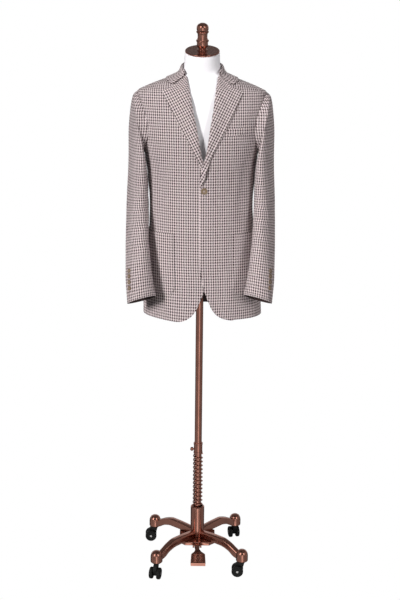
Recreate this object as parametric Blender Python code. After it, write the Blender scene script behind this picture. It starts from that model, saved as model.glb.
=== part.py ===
"""A checked sport coat on a limbless dress stand. Metres, +Z up, front towards -Y, floor at Z = 0."""

import math

import bmesh
import bpy
from mathutils import Matrix, Vector

for old in list(bpy.data.objects):
    bpy.data.objects.remove(old)

# Cloth walls and the air between pieces
CLOTH = 0.0022
SEAM_GAP = 0.0003
LIE_GAP = 0.0007
LAP_LIFT = CLOTH + LIE_GAP
TOUCH_GAP = 0.0004

# Outer face of the coat body, one row a section
BODY_COLUMNS = ("height", "half_width", "front_depth", "back_depth", "squareness", "sideways")
BODY_SECTIONS = (
    (0.9050, 0.1985, 0.1300, 0.1280, 2.30, 0.009),
    (1.0000, 0.1960, 0.1300, 0.1300, 2.30, 0.006),
    (1.1000, 0.1850, 0.1280, 0.1220, 2.28, 0.003),
    (1.2000, 0.1740, 0.1260, 0.1100, 2.25, 0.003),
    (1.2800, 0.1705, 0.1270, 0.1080, 2.25, 0.002),
    (1.3400, 0.1725, 0.1300, 0.1110, 2.25, 0.002),
    (1.3900, 0.1765, 0.1340, 0.1160, 2.25, 0.001),
    (1.4400, 0.1840, 0.1370, 0.1220, 2.28, 0.000),
    (1.5000, 0.1980, 0.1340, 0.1270, 2.32, 0.000),
    (1.5500, 0.2065, 0.1240, 0.1250, 2.35, 0.000),
    (1.6000, 0.2115, 0.1070, 0.1140, 2.40, 0.000),
    (1.6375, 0.2085, 0.0880, 0.0980, 2.40, 0.000),
    (1.6550, 0.1775, 0.0775, 0.0880, 2.38, 0.000),
    (1.6690, 0.1430, 0.0700, 0.0790, 2.32, 0.000),
    (1.6820, 0.1090, 0.0645, 0.0715, 2.25, 0.000),
    (1.6940, 0.0815, 0.0600, 0.0650, 2.20, 0.000),
)
HEM = 0.905
NECK_SEAM = 1.694

# Armhole, drawn on the body's face: its top is the shoulder tip
ARM_TOP = 1.6375
ARM_BOTTOM = 1.4400
ARM_FRONT_TURN = math.radians(35)
ARM_BACK_TURN = math.radians(31)
ARM_STEP = 18
SIDE_SEAM_TURN = 144

# Front edges: the middle line, and how far each edge stands from it (below zero they lap)
MIDDLE_COLUMNS = ("height", "across")
MIDDLE_LINE = (
    (0.905, 0.0120), (1.000, 0.0145), (1.100, 0.0115), (1.330, 0.0090),
    (1.450, 0.0080), (1.550, 0.0060), (1.660, 0.0020), (1.700, 0.0010),
)
EDGE_COLUMNS = ("height", "spread")
FRONT_EDGE = (
    (0.9050, 0.088), (0.9065, 0.076), (0.9100, 0.064), (0.9170, 0.050), (0.9290, 0.036),
    (0.9470, 0.0235), (0.9720, 0.012), (1.0050, 0.000), (1.0500, -0.009), (1.1050, -0.0125),
    (1.3300, -0.013), (1.3600, -0.009), (1.3850, -0.004), (1.4050, 0.000), (1.4300, 0.0065),
    (1.4600, 0.0125), (1.5000, 0.0185), (1.5400, 0.025), (1.5800, 0.033), (1.6200, 0.0395),
    (1.6600, 0.0455), (1.6940, 0.0505),
)
FRONT_ROWS = (
    0.905, 0.907, 0.913, 0.923, 0.938, 0.962, 1.005, 1.020, 1.060, 1.105, 1.150, 1.190, 1.235,
    1.285, 1.3582, 1.4086,
)
BACK_ROWS = (0.905, 0.970, 1.040, 1.105, 1.165, 1.225, 1.285, 1.3582, 1.4086)
SHOULDER_ROWS = (1.652, 1.667, 1.681, 1.694)
FRONT_COLUMNS = 9
LAP_WIDE = 0.022
LAP_EASE = 0.035
LAP_END = 1.42
LAP_END_EASE = 0.06
UNDER_FRONT_DROP = 0.009
UNDER_DROP_WIDE = 0.05
UNDER_DROP_EASE = 0.13
UNDER_DROP_TALL = 0.10
SIDE_ROWS = 11
BACK_COLUMNS = 6

# Lapels: outer edge up to the tip, then the gorge back to the roll line
LAPEL_COLUMNS = ("height", "spread")
LAPEL_EDGE = (
    (1.350, -0.0065), (1.385, 0.0035), (1.426, 0.0165), (1.474, 0.0430), (1.543, 0.0810),
    (1.596, 0.1065), (1.640, 0.1280), (1.657, 0.0935), (1.686, 0.0540),
)
LAPEL_ROWS = (
    1.350, 1.385, 1.412, 1.426, 1.450, 1.474, 1.508, 1.543, 1.570, 1.596, 1.620, 1.640, 1.6485, 1.657,
    1.671, 1.686,
)
UNDER_LAPEL_START = 1.412
LAPEL_STEPS = 6
LAPEL_CROWD = 1.25
LAPEL_ROLL = 0.0035
ROLL_START = 1.36
ROLL_START_EASE = 0.10
ROLL_END_EASE = 0.04
ROLL_CREST = 0.12
ROLL_FALL = 0.6

# Collar stations from the front end round to the middle of the back
COLLAR_COLUMNS = ("place", "fold_x", "fold_y", "fold_z", "seam_turn", "edge_turn", "edge_z")
COLLAR_STATIONS = (
    (0.0, 0.0535, -0.0545, 1.7020, 37.0, 50.0, 1.6705),
    (1.0, 0.0610, -0.0370, 1.7090, 58.0, 68.0, 1.6770),
    (2.0, 0.0648, -0.0130, 1.7165, 80.0, 86.0, 1.6800),
    (3.0, 0.0655, 0.0120, 1.7210, 101.0, 104.0, 1.6785),
    (4.0, 0.0605, 0.0355, 1.7255, 120.0, 122.0, 1.6755),
    (5.0, 0.0450, 0.0540, 1.7300, 140.0, 141.0, 1.6730),
    (6.0, 0.0220, 0.0635, 1.7325, 160.0, 160.0, 1.6715),
    (7.0, 0.0000, 0.0665, 1.7330, 180.0, 180.0, 1.6710),
)
COLLAR_PLACES = (0.0, 0.5, 1.0, 1.5, 2.0, 2.5, 3.0, 3.75, 4.5, 5.25, 6.0, 7.0)
COLLAR_LEAF_STEPS = 5
COLLAR_FOLD = 0.0029
COLLAR_FOLD_DROP = 0.8 * COLLAR_FOLD
COLLAR_SAG = 0.014
COLLAR_RISE = 0.0008
GORGE_COLUMNS = ("share", "spread", "height")
GORGE = ((0.0, 0.0540, 1.6935), (0.15, 0.0560, 1.6885), (0.70, 0.0950, 1.6590), (1.0, 0.1100, 1.6715))

# Pockets
POCKET_INNER = 0.095
POCKET_OUTER_TURN = 97
POCKET_ROUND = 0.030
POCKET_HEIGHTS = (0.988, 0.9895, 0.994, 1.003, 1.020, 1.060, 1.105, 1.150, 1.190)
POCKET_STEPS = 8
POCKET_GAP = 0.0009
WELT_FROM = (0.0815, 1.5040)
WELT_TO = (0.1525, 1.5130)
WELT_TALL = 0.022
WELT_STEPS = 6

# Sleeve sections under the armhole: centre, half sizes and turns in degrees
SLEEVE_COLUMNS = ("across", "deep", "height", "half_width", "half_depth", "fan", "yaw", "pitch")
SLEEVE_SECTIONS = (
    (0.20600, -0.004, 1.5310, 0.0983, 0.0800, 81.0, 4.0, 0.0),
    (0.20800, -0.005, 1.5155, 0.0902, 0.0830, 77.4, 7.0, 0.0),
    (0.20885, -0.006, 1.4925, 0.0764, 0.0845, 72.8, 10.0, 0.0),
    (0.20930, -0.007, 1.4615, 0.0590, 0.0850, 65.0, 12.0, 0.0),
    (0.20790, -0.008, 1.4215, 0.0432, 0.0845, 52.5, 13.0, 0.0),
    (0.20770, -0.009, 1.3760, 0.0311, 0.0835, 27.7, 13.5, 0.0),
    (0.20850, -0.011, 1.3300, 0.0305, 0.0810, 8.0, 13.5, 2.0),
    (0.20950, -0.017, 1.2800, 0.0318, 0.0780, 0.0, 13.0, 5.0),
    (0.20860, -0.038, 1.2200, 0.0332, 0.0720, 0.0, 15.0, 11.0),
    (0.20650, -0.069, 1.1500, 0.0342, 0.0650, 0.0, 20.0, 15.0),
    (0.20220, -0.096, 1.0900, 0.0378, 0.0580, -2.0, 23.0, 16.0),
    (0.19820, -0.117, 1.0400, 0.0418, 0.0515, -4.0, 25.0, 16.0),
    (0.18880, -0.135, 0.9710, 0.0475, 0.0430, -7.0, 25.0, 15.0),
)
SLEEVE_SQUARENESS = 2.15
HIND_SEAM = (-54.0, 8.0)
FORE_SEAM = (126.0, 140.0)
SLEEVE_STEPS = 10
VALLEY_SOFT = 0.15

# Buttons: a raised rim round a dish, (radius, tall) as shares
BUTTON_SHARES = ((0.0, 0.0), (1.0, 0.0), (1.0, 0.7), (0.88, 1.0), (0.72, 1.0), (0.60, 0.72), (0.0, 0.72))
FRONT_BUTTON_AROUND = 16
CUFF_BUTTON_AROUND = 8
FRONT_BUTTON = (0.0093, 1.3344)
FRONT_BUTTON_RADIUS = 0.0105
FRONT_BUTTON_TALL = 0.0036
CUFF_BUTTON_RADIUS = 0.0075
CUFF_BUTTON_TALL = 0.0030
CUFF_BUTTON_LIFT = 0.0001
CUFF_BUTTON_TURN = 27.0
CUFF_BUTTON_PLACES = (11.45, 11.78, 12.09, 12.34)

# Form: rows under the shoulders, rows worked out from the coat's shoulders, rows of the neck
FORM_COLUMNS = ("height", "half_width", "front_depth", "back_depth", "squareness", "deep", "tilt")
FORM_TRUNK = (
    (1.000, 0.1680, 0.1060, 0.1060, 2.20, 0.0, 0.0),
    (1.060, 0.1700, 0.1080, 0.1080, 2.20, 0.0, 0.0),
    (1.150, 0.1630, 0.1070, 0.1010, 2.20, 0.0, 0.0),
    (1.250, 0.1535, 0.1060, 0.0935, 2.20, 0.0, 0.0),
    (1.340, 0.1555, 0.1110, 0.0970, 2.20, 0.0, 0.0),
    (1.420, 0.1600, 0.1170, 0.1050, 2.20, 0.0, 0.0),
    (1.500, 0.1650, 0.1160, 0.1100, 2.25, 0.0, 0.0),
    (1.560, 0.1740, 0.1075, 0.1105, 2.30, 0.0, 0.0),
    (1.600, 0.1880, 0.0965, 0.1045, 2.35, 0.0, 0.0),
    (1.620, 0.1980, 0.0903, 0.0998, 2.38, 0.0, 0.0),
)
FORM_SHOULDER_HEIGHTS = (1.6344, 1.6489, 1.6639, 1.6779)
FORM_SHOULDER_DROP = 0.0031
FORM_DEPTH_EASE = 0.0024
FORM_WIDEST = 0.2035
FORM_NECK = (
    (1.6960, 0.0685, 0.0560, 0.0610, 2.10, -0.002, 0.0),
    (1.7060, 0.0605, 0.0555, 0.0580, 2.05, -0.004, 2.0),
    (1.7200, 0.0580, 0.0565, 0.0560, 2.00, -0.006, 5.0),
    (1.7350, 0.0570, 0.0560, 0.0550, 2.00, -0.009, 9.0),
    (1.7510, 0.0562, 0.0555, 0.0550, 2.00, -0.012, 14.0),
    (1.7620, 0.0555, 0.0550, 0.0550, 2.00, -0.014, 17.0),
)
FORM_AROUND = 24
NECK_TOP = Vector((0.0, -0.014, 1.762))
NECK_TILT = math.radians(17)

# Cap and finial, (radius, along) from the neck's top face
CAP_PROFILE = (
    (0.0, 0.0003), (0.0535, 0.0003), (0.0555, 0.0018), (0.0555, 0.0040), (0.0540, 0.0056), (0.0, 0.0056),
)
CAP_AROUND = 20
FINIAL_PROFILE = (
    (0.0, 0.0059), (0.0160, 0.0059), (0.0160, 0.0080), (0.0130, 0.0095), (0.0130, 0.0165),
    (0.0168, 0.0180), (0.0182, 0.0230), (0.0182, 0.0315), (0.0172, 0.0346), (0.0205, 0.0357),
    (0.0205, 0.0382), (0.0178, 0.0398), (0.0158, 0.0470), (0.0158, 0.0560), (0.0170, 0.0632),
    (0.0200, 0.0648), (0.0200, 0.0672), (0.0172, 0.0686), (0.0190, 0.0734), (0.0195, 0.0783),
    (0.0182, 0.0843), (0.0148, 0.0891), (0.0085, 0.0927), (0.0, 0.0940),
)
FINIAL_AROUND = 12

# Pole, collar, screw and spring
POLE_RADIUS = 0.0125
POLE_BOTTOM = 0.1150
POLE_TOP = 0.9997
ROUND_AROUND = 24
COLLAR_BORE = 0.0128
COLLAR_RADIUS = 0.0158
COLLAR_LOW = 0.3930
COLLAR_HIGH = 0.4315
SCREW_HEIGHT = 0.4080
SCREW_AROUND = 10
SCREW_HOLE = 0.0034
SCREW_HOLE_AROUND = 8
SCREW_HOLE_FROM = 0.0110
SCREW_HOLE_TO = 0.0200
SCREW_PROFILE = (
    (0.0, 0.0130), (0.0028, 0.0130), (0.0028, 0.0162), (0.0045, 0.0166), (0.0066, 0.0190),
    (0.0070, 0.0220), (0.0060, 0.0252), (0.0030, 0.0272), (0.0, 0.0275),
)
SPRING_RADIUS = 0.01550
SPRING_WIRE = 0.0021
SPRING_LOW = 0.1885
SPRING_HIGH = 0.3903
SPRING_TURNS = 14
SPRING_PER_TURN = 9
SPRING_SIDES = 4

# Hub, plate, legs and pedal
HUB_AROUND = 20
HUB_RADIUS = 0.0240
HUB_LOW = 0.0848
HUB_HIGH = 0.1970
HUB_MOUTH_RADIUS = 0.0185
HUB_MOUTH_FLOOR = 0.1860
HUB_BORE = 0.0131
HUB_CHAMFER = 0.0035
PLATE_HALF = 0.0620
PLATE_CORNER = 0.0200
PLATE_LOW = 0.0720
PLATE_HIGH = 0.0845
PLATE_HOLE = 0.0140
PLATE_HOLE_AROUND = 18
LEG_TURNS = {"fr": -41.8, "br": 48.2, "bl": 138.2, "fl": -131.8}
LEG_REACH = 0.2075
LEG_COLUMNS = ("reach", "top", "half_width", "tall")
LEG_SECTIONS = (
    (0.0120, 0.1060, 0.0120, 0.0210),
    (0.0400, 0.1080, 0.0120, 0.0229),
    (0.0850, 0.1105, 0.0118, 0.0254),
    (0.1180, 0.1108, 0.0115, 0.0260),
    (0.1500, 0.1028, 0.0112, 0.0250),
    (0.1740, 0.0915, 0.0108, 0.0275),
    (0.2000, 0.0790, 0.0105, 0.0215),
)
LEG_BEVEL = 0.0045
WAIST_LOW = 0.05
WAIST_HIGH = 0.20
DOME_PROFILE = (
    (0.0, 0.0555), (0.0196, 0.0555), (0.0206, 0.0580), (0.0206, 0.0755), (0.0172, 0.0880),
    (0.0098, 0.0945), (0.0, 0.0960),
)
DOME_AROUND = 18
PIN_AT = (-0.0700, 0.0760)
PIN_RADIUS = 0.0030
PIN_HALF = 0.0155
PIN_AROUND = 12
EAR_AROUND = 10
EAR_FROM = 0.0095
EAR_TO = 0.0155
EAR_RADIUS = 0.0075
EAR_BACK = 0.012
EAR_BELOW = 0.004
EAR_ABOVE = 0.006
PIN_EASE = 0.0005
DRILL_HALF = 0.03
PEDAL_COLUMNS = ("across", "deep", "height", "half_width", "tall")
PEDAL_SECTIONS = (
    (0.000, -0.0635, 0.0760, 0.0085, 0.0110),
    (0.000, -0.0760, 0.0750, 0.0085, 0.0110),
    (0.001, -0.0860, 0.0670, 0.0070, 0.0090),
    (0.003, -0.0940, 0.0620, 0.0130, 0.0070),
    (0.004, -0.1030, 0.0575, 0.0240, 0.0070),
    (0.004, -0.1330, 0.0430, 0.0260, 0.0070),
    (0.004, -0.1410, 0.0390, 0.0255, 0.0110),
)

# Castors: turn of the trailing direction for each
CASTOR_TURNS = {"fr": 178.0, "br": 104.0, "bl": 182.0, "fl": -104.0}
CASTOR_TRAIL = 0.0150
WHEEL_RADIUS = 0.0205
WHEEL_FROM = 0.0072
WHEEL_TO = 0.0190
WHEEL_AROUND = 16
WHEEL_BORE = 0.0033
FORK_PLATE_RADIUS = 0.0130
FORK_PLATE_LOW = 0.0505
FORK_PLATE_HIGH = 0.0552
FORK_PLATE_AROUND = 12
STEM_RADIUS = 0.0050
STEM_LOW = 0.0515
STEM_HIGH = 0.0740
STEM_AROUND = 10
STEM_BORE = 0.0055
STEM_BORE_LOW = 0.0500
STEM_BORE_HIGH = 0.0760
FORK_WEB_HALF = 0.0066
FORK_WEB_SHAPE = (
    (-0.0095, 0.0515), (0.0115, 0.0515), (0.0235, 0.0400), (0.0260, 0.0260), (0.0215, 0.0125),
    (0.0085, 0.0125), (-0.0060, 0.0370),
)
AXLE_AROUND = 8
AXLE_RADIUS = 0.0030
AXLE_HEAD_RADIUS = 0.0046
AXLE_HEAD_TALL = 0.0014

# Plain colours of the solids
CHECK_CLOTH = (0.42, 0.34, 0.33, 1.0)
WHITE_CLOTH = (0.90, 0.88, 0.90, 1.0)
BRONZE = (0.42, 0.24, 0.18, 1.0)
HORN = (0.16, 0.13, 0.07, 1.0)
BLACK = (0.02, 0.02, 0.02, 1.0)


# Small helpers
def column_values(rows, columns, name):
    return [row[columns.index(name)] for row in rows]


def smooth_at(places, values, at):
    """A smooth curve through the rows that never overshoots a row."""
    if at <= places[0]:
        return values[0]
    if at >= places[-1]:
        return values[-1]
    last = len(places) - 1
    steps = [places[i + 1] - places[i] for i in range(last)]
    rises = [(values[i + 1] - values[i]) / steps[i] for i in range(last)]

    def slope(i):
        if i == 0:
            return rises[0]
        if i == last:
            return rises[-1]
        before, after = rises[i - 1], rises[i]
        if before * after <= 0:
            return 0.0
        near, far = 2 * steps[i] + steps[i - 1], steps[i] + 2 * steps[i - 1]
        return (near + far) / (near / before + far / after)

    i = max(k for k in range(last) if places[k] <= at)
    t = (at - places[i]) / steps[i]
    left, right = slope(i) * steps[i], slope(i + 1) * steps[i]
    return (
        values[i] * (1 + 2 * t) * (1 - t) ** 2
        + left * t * (1 - t) ** 2
        + values[i + 1] * t * t * (3 - 2 * t)
        + right * t * t * (t - 1)
    )


def straight_at(places, values, at):
    for i in range(len(places) - 1):
        if at <= places[i + 1] or i == len(places) - 2:
            t = (at - places[i]) / (places[i + 1] - places[i])
            return values[i] + (values[i + 1] - values[i]) * min(max(t, 0.0), 1.0)


def ease(t):
    t = min(max(t, 0.0), 1.0)
    return t * t * (3 - 2 * t)


def signed_power(value, power):
    return math.copysign(abs(value) ** power, value)


def paint(obj, colour, metallic, roughness):
    material = bpy.data.materials.new(obj.name)
    material.use_nodes = True
    shader = material.node_tree.nodes["Principled BSDF"]
    shader.inputs["Base Color"].default_value = colour
    shader.inputs["Metallic"].default_value = metallic
    shader.inputs["Roughness"].default_value = roughness
    material.diffuse_color = colour
    obj.data.materials.append(material)


def make_object(name, points, faces):
    mesh = bpy.data.meshes.new(name)
    shape = bmesh.new()
    corners = [shape.verts.new(point) for point in points]
    for face in faces:
        shape.faces.new([corners[i] for i in face])
    bmesh.ops.recalc_face_normals(shape, faces=shape.faces)
    if shape.calc_volume(signed=True) < 0:
        bmesh.ops.reverse_faces(shape, faces=shape.faces)
    shape.to_mesh(mesh)
    shape.free()
    obj = bpy.data.objects.new(name, mesh)
    bpy.context.scene.collection.objects.link(obj)
    return obj


def wall(name, outer, inner):
    """A closed wall between two grids of points that have the same rows and columns."""
    rows, columns = len(outer), len(outer[0])
    points = [p for row in outer for p in row] + [p for row in inner for p in row]
    half = rows * columns

    def at(i, j, side):
        return side * half + i * columns + j

    faces = []
    for i in range(rows - 1):
        for j in range(columns - 1):
            ring = ((i, j), (i, j + 1), (i + 1, j + 1), (i + 1, j))
            faces.append([at(a, b, 0) for a, b in ring])
            faces.append([at(a, b, 1) for a, b in reversed(ring)])
    border = [(0, j) for j in range(columns - 1)] + [(i, columns - 1) for i in range(rows - 1)]
    border += [(rows - 1, j) for j in range(columns - 1, 0, -1)] + [(i, 0) for i in range(rows - 1, 0, -1)]
    for (a, b), (c, d) in zip(border, border[1:] + border[:1]):
        faces.append([at(a, b, 0), at(c, d, 0), at(c, d, 1), at(a, b, 1)])
    return make_object(name, points, faces)


def lathe(name, profile, around, matrix, phase=0.5, ring=False):
    """A solid turned round local Z. A ring profile is a closed loop clear of the axis."""
    points, rows = [], []
    for radius, along in profile:
        if radius == 0.0:
            rows.append([len(points)])
            points.append(matrix @ Vector((0.0, 0.0, along)))
            continue
        rows.append([len(points) + k for k in range(around)])
        for k in range(around):
            turn = 2 * math.pi * (k + phase) / around
            points.append(matrix @ Vector((radius * math.cos(turn), radius * math.sin(turn), along)))
    pairs = list(zip(rows, rows[1:]))
    if ring:
        pairs.append((rows[-1], rows[0]))
    faces = []
    for low, high in pairs:
        for k in range(around):
            following = (k + 1) % around
            if len(low) == 1 and len(high) == 1:
                continue
            if len(low) == 1:
                faces.append([low[0], high[following], high[k]])
            elif len(high) == 1:
                faces.append([low[k], low[following], high[0]])
            else:
                faces.append([low[k], low[following], high[following], high[k]])
    return make_object(name, points, faces)


def prism(name, outline, low, high, matrix):
    """A flat outline in local X and Y, carried from low to high along local Z."""
    count = len(outline)
    points = [matrix @ Vector((x, y, low)) for x, y in outline]
    points += [matrix @ Vector((x, y, high)) for x, y in outline]
    faces = [list(range(count)), list(range(2 * count - 1, count - 1, -1))]
    faces += [[k, (k + 1) % count, count + (k + 1) % count, count + k] for k in range(count)]
    return make_object(name, points, faces)


def rod(name, radius, low, high, around, matrix, phase=0.5):
    return lathe(name, ((0.0, low), (radius, low), (radius, high), (0.0, high)), around, matrix, phase)


def apply_modifiers(obj):
    graph = bpy.context.evaluated_depsgraph_get()
    finished = bpy.data.meshes.new_from_object(obj.evaluated_get(graph))
    obj.modifiers.clear()
    obj.data = finished


def combine(obj, other, operation):
    step = obj.modifiers.new("join", "BOOLEAN")
    step.operation = operation
    step.solver = "EXACT"
    step.object = other
    apply_modifiers(obj)
    bpy.data.objects.remove(other)


# Body of the coat
BODY_HEIGHTS = column_values(BODY_SECTIONS, BODY_COLUMNS, "height")
BODY_VALUES = {name: column_values(BODY_SECTIONS, BODY_COLUMNS, name) for name in BODY_COLUMNS}
MIDDLE_HEIGHTS = column_values(MIDDLE_LINE, MIDDLE_COLUMNS, "height")
MIDDLE_ACROSS = column_values(MIDDLE_LINE, MIDDLE_COLUMNS, "across")
EDGE_HEIGHTS = column_values(FRONT_EDGE, EDGE_COLUMNS, "height")
EDGE_SPREADS = column_values(FRONT_EDGE, EDGE_COLUMNS, "spread")
LAPEL_HEIGHTS = column_values(LAPEL_EDGE, LAPEL_COLUMNS, "height")
LAPEL_SPREADS = column_values(LAPEL_EDGE, LAPEL_COLUMNS, "spread")
ARM_MIDDLE = (ARM_TOP + ARM_BOTTOM) / 2
ARM_HALF = (ARM_TOP - ARM_BOTTOM) / 2
TURN_STEP = 0.004
RISE_STEP = 0.0015
PLACE_STEP = 0.05


def body_value(name, height):
    return smooth_at(BODY_HEIGHTS, BODY_VALUES[name], height)


def body_face(turn, height):
    """A point of the outer face: turn 0 is the middle of the front, positive towards +X."""
    power = 2 / body_value("squareness", height)
    depth = body_value("front_depth" if math.cos(turn) > 0 else "back_depth", height)
    across = body_value("half_width", height) * signed_power(math.sin(turn), power)
    deep = -depth * signed_power(math.cos(turn), power)
    return Vector((body_value("sideways", height) + across, deep, height))


def body_normal(turn, height):
    top = min(height + RISE_STEP, NECK_SEAM)
    low = max(height - RISE_STEP, HEM)
    along = body_face(turn + TURN_STEP, height) - body_face(turn - TURN_STEP, height)
    up = body_face(turn, top) - body_face(turn, low)
    return along.cross(up).normalized()


def body_point(turn, height, lift=0.0):
    return body_face(turn, height) + lift * body_normal(turn, height)


def turn_at(across, height):
    """The turn of the front face's point that has this x."""
    reach = (across - body_value("sideways", height)) / body_value("half_width", height)
    share = min(abs(reach), 1.0) ** (body_value("squareness", height) / 2)
    return math.copysign(math.asin(share), reach)


def turn_for_length(turn, height, length):
    """The change of turn that moves a point by this length along its section."""
    step = body_face(turn + TURN_STEP, height) - body_face(turn - TURN_STEP, height)
    return length * 2 * TURN_STEP / step.length


def middle_at(height):
    return smooth_at(MIDDLE_HEIGHTS, MIDDLE_ACROSS, height)


def edge_at(height):
    return smooth_at(EDGE_HEIGHTS, EDGE_SPREADS, height)


def arm_height(degrees):
    return ARM_MIDDLE + ARM_HALF * math.cos(math.radians(degrees))


def arm_turn(degrees):
    swing = math.sin(math.radians(degrees))
    return math.pi / 2 - swing * (ARM_FRONT_TURN if swing > 0 else ARM_BACK_TURN)


ARM_ROWS = [arm_height(degrees) for degrees in range(SIDE_SEAM_TURN, -1, -ARM_STEP)]
FRONT_SEAM = arm_turn(SIDE_SEAM_TURN)
BACK_SEAM = arm_turn(-SIDE_SEAM_TURN)


def outer_turn(height, front):
    """Where a front or a back ends: side seam, then armhole, then shoulder seam."""
    seam = FRONT_SEAM if front else BACK_SEAM
    if height <= ARM_ROWS[0] + 1e-6:
        return seam
    if height >= ARM_TOP:
        return math.pi / 2
    swing = math.degrees(math.acos((height - ARM_MIDDLE) / ARM_HALF))
    return arm_turn(swing if front else -swing)


def lap_lift(across, height):
    """How far the left front stands off to pass over the right one."""
    near = 1 - ease((across - middle_at(height) - LAP_WIDE) / LAP_EASE)
    return LAP_LIFT * near * (1 - ease((height - LAP_END) / LAP_END_EASE))


def under_drop(across, height):
    """How much lower the right front hangs near its rounded corner."""
    near = 1 - ease((abs(across) - UNDER_DROP_WIDE) / UNDER_DROP_EASE)
    return UNDER_FRONT_DROP * near * (1 - ease((height - HEM) / UNDER_DROP_TALL))


def front_wall(name, side):
    outer, inner = [], []
    for height in list(FRONT_ROWS) + ARM_ROWS + list(SHOULDER_ROWS):
        start = turn_at(middle_at(height) + side * edge_at(height), height)
        end = side * outer_turn(height, True)
        end -= side * turn_for_length(end, height, SEAM_GAP / 2)
        out_row, in_row = [], []
        for k in range(FRONT_COLUMNS + 1):
            turn = start + (end - start) * k / FRONT_COLUMNS
            across = body_face(turn, height).x
            lift = lap_lift(across, height) if side > 0 else 0.0
            drop = Vector((0, 0, 0 if side > 0 else under_drop(across, height)))
            out_row.append(body_point(turn, height, lift) - drop)
            in_row.append(body_point(turn, height, lift - CLOTH) - drop)
        outer.append(out_row)
        inner.append(in_row)
    return wall(name, outer, inner)


def side_wall(name, side):
    outer, inner = [], []
    stops = [arm_turn(d) for d in range(SIDE_SEAM_TURN, 361 - SIDE_SEAM_TURN, ARM_STEP)]
    tops = [arm_height(d) for d in range(SIDE_SEAM_TURN, 361 - SIDE_SEAM_TURN, ARM_STEP)]
    for i in range(SIDE_ROWS + 1):
        out_row, in_row = [], []
        for k, (stop, top) in enumerate(zip(stops, tops)):
            height = HEM + (top - HEM) * i / SIDE_ROWS
            inset = (k == 0) - (k == len(stops) - 1)
            turn = side * (stop + inset * turn_for_length(stop, height, SEAM_GAP / 2))
            out_row.append(body_point(turn, height))
            in_row.append(body_point(turn, height, -CLOTH))
        outer.append(out_row)
        inner.append(in_row)
    return wall(name, outer, inner)


def back_wall(name, side):
    outer, inner = [], []
    for height in list(BACK_ROWS) + ARM_ROWS + list(SHOULDER_ROWS):
        start = side * outer_turn(height, False)
        start += side * turn_for_length(start, height, SEAM_GAP / 2)
        end = side * math.pi
        end -= side * turn_for_length(end - side * 0.01, height, SEAM_GAP / 2)
        out_row, in_row = [], []
        for k in range(BACK_COLUMNS + 1):
            turn = start + (end - start) * k / BACK_COLUMNS
            out_row.append(body_point(turn, height))
            in_row.append(body_point(turn, height, -CLOTH))
        outer.append(out_row)
        inner.append(in_row)
    return wall(name, outer, inner)


# Lapels lie on the fronts, lifted into a soft roll beside the roll line
def lapel_wall(name, side):
    outer, inner = [], []
    for height in LAPEL_ROWS:
        if side < 0 and height < UNDER_LAPEL_START:
            continue
        middle = middle_at(height)
        start = turn_at(middle + side * edge_at(height), height)
        end = turn_at(middle + side * straight_at(LAPEL_HEIGHTS, LAPEL_SPREADS, height), height)
        roll = LAPEL_ROLL * ease((height - ROLL_START) / ROLL_START_EASE)
        roll *= ease((NECK_SEAM - height) / ROLL_END_EASE)
        out_row, in_row = [], []
        for k in range(LAPEL_STEPS + 1):
            share = (k / LAPEL_STEPS) ** LAPEL_CROWD
            turn = start + (end - start) * share
            across = body_face(turn, height).x
            lift = LIE_GAP + (lap_lift(across, height) if side > 0 else 0.0)
            lift += roll * ease(share / ROLL_CREST) * (1 - ease((share - ROLL_CREST) / ROLL_FALL))
            out_row.append(body_point(turn, height, lift + CLOTH))
            in_row.append(body_point(turn, height, lift))
        outer.append(out_row)
        inner.append(in_row)
    return wall(name, outer, inner)


# Collar: stand inside, fold, and a leaf that lies on the shoulders and the lapel's gorge
def pushed_out(point, lift):
    """The point, moved so that it stands at least this far off the coat's face."""
    height = min(point.z, NECK_SEAM)
    depth = body_value("front_depth" if point.y < 0 else "back_depth", height)
    power = body_value("squareness", height) / 2
    across = abs(point.x - body_value("sideways", height)) / body_value("half_width", height)
    turn = math.atan2(across**power, (abs(point.y) / depth) ** power)
    turn = math.copysign(turn if point.y < 0 else math.pi - turn, point.x)
    normal = body_normal(turn, height)
    off = (point - body_face(turn, height)).dot(normal)
    return point + normal * max(lift - off, 0.0)


def collar_section(place, side):
    places = column_values(COLLAR_STATIONS, COLLAR_COLUMNS, "place")

    def value(name):
        return smooth_at(places, column_values(COLLAR_STATIONS, COLLAR_COLUMNS, name), place)

    fold = Vector((side * value("fold_x"), value("fold_y"), value("fold_z")))
    seam = body_face(side * math.radians(value("seam_turn")), NECK_SEAM) + Vector((0, 0, COLLAR_RISE))
    edge = body_point(side * math.radians(value("edge_turn")), value("edge_z"), CLOTH + LIE_GAP)
    outward = (edge - seam).to_2d().normalized().to_3d()
    drop = Vector((0, 0, COLLAR_FOLD_DROP))
    inside = fold - COLLAR_FOLD * outward - drop
    outside = fold + COLLAR_FOLD * outward - drop
    section = [seam, seam.lerp(inside, 0.5), inside, fold]
    lift = CLOTH + LIE_GAP + TOUCH_GAP
    at_front = 1 - ease(place)
    for k in range(COLLAR_LEAF_STEPS + 1):
        share = k / COLLAR_LEAF_STEPS
        plain = outside.lerp(edge, share) - Vector((0, 0, COLLAR_SAG * math.sin(math.pi * share)))
        shares = column_values(GORGE, GORGE_COLUMNS, "share")
        height = straight_at(shares, column_values(GORGE, GORGE_COLUMNS, "height"), share)
        spread = straight_at(shares, column_values(GORGE, GORGE_COLUMNS, "spread"), share)
        cut = body_point(turn_at(middle_at(height) + side * spread, height), height, lift)
        section.append(pushed_out(plain.lerp(cut, at_front) if k else outside, lift))
    return section


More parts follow.
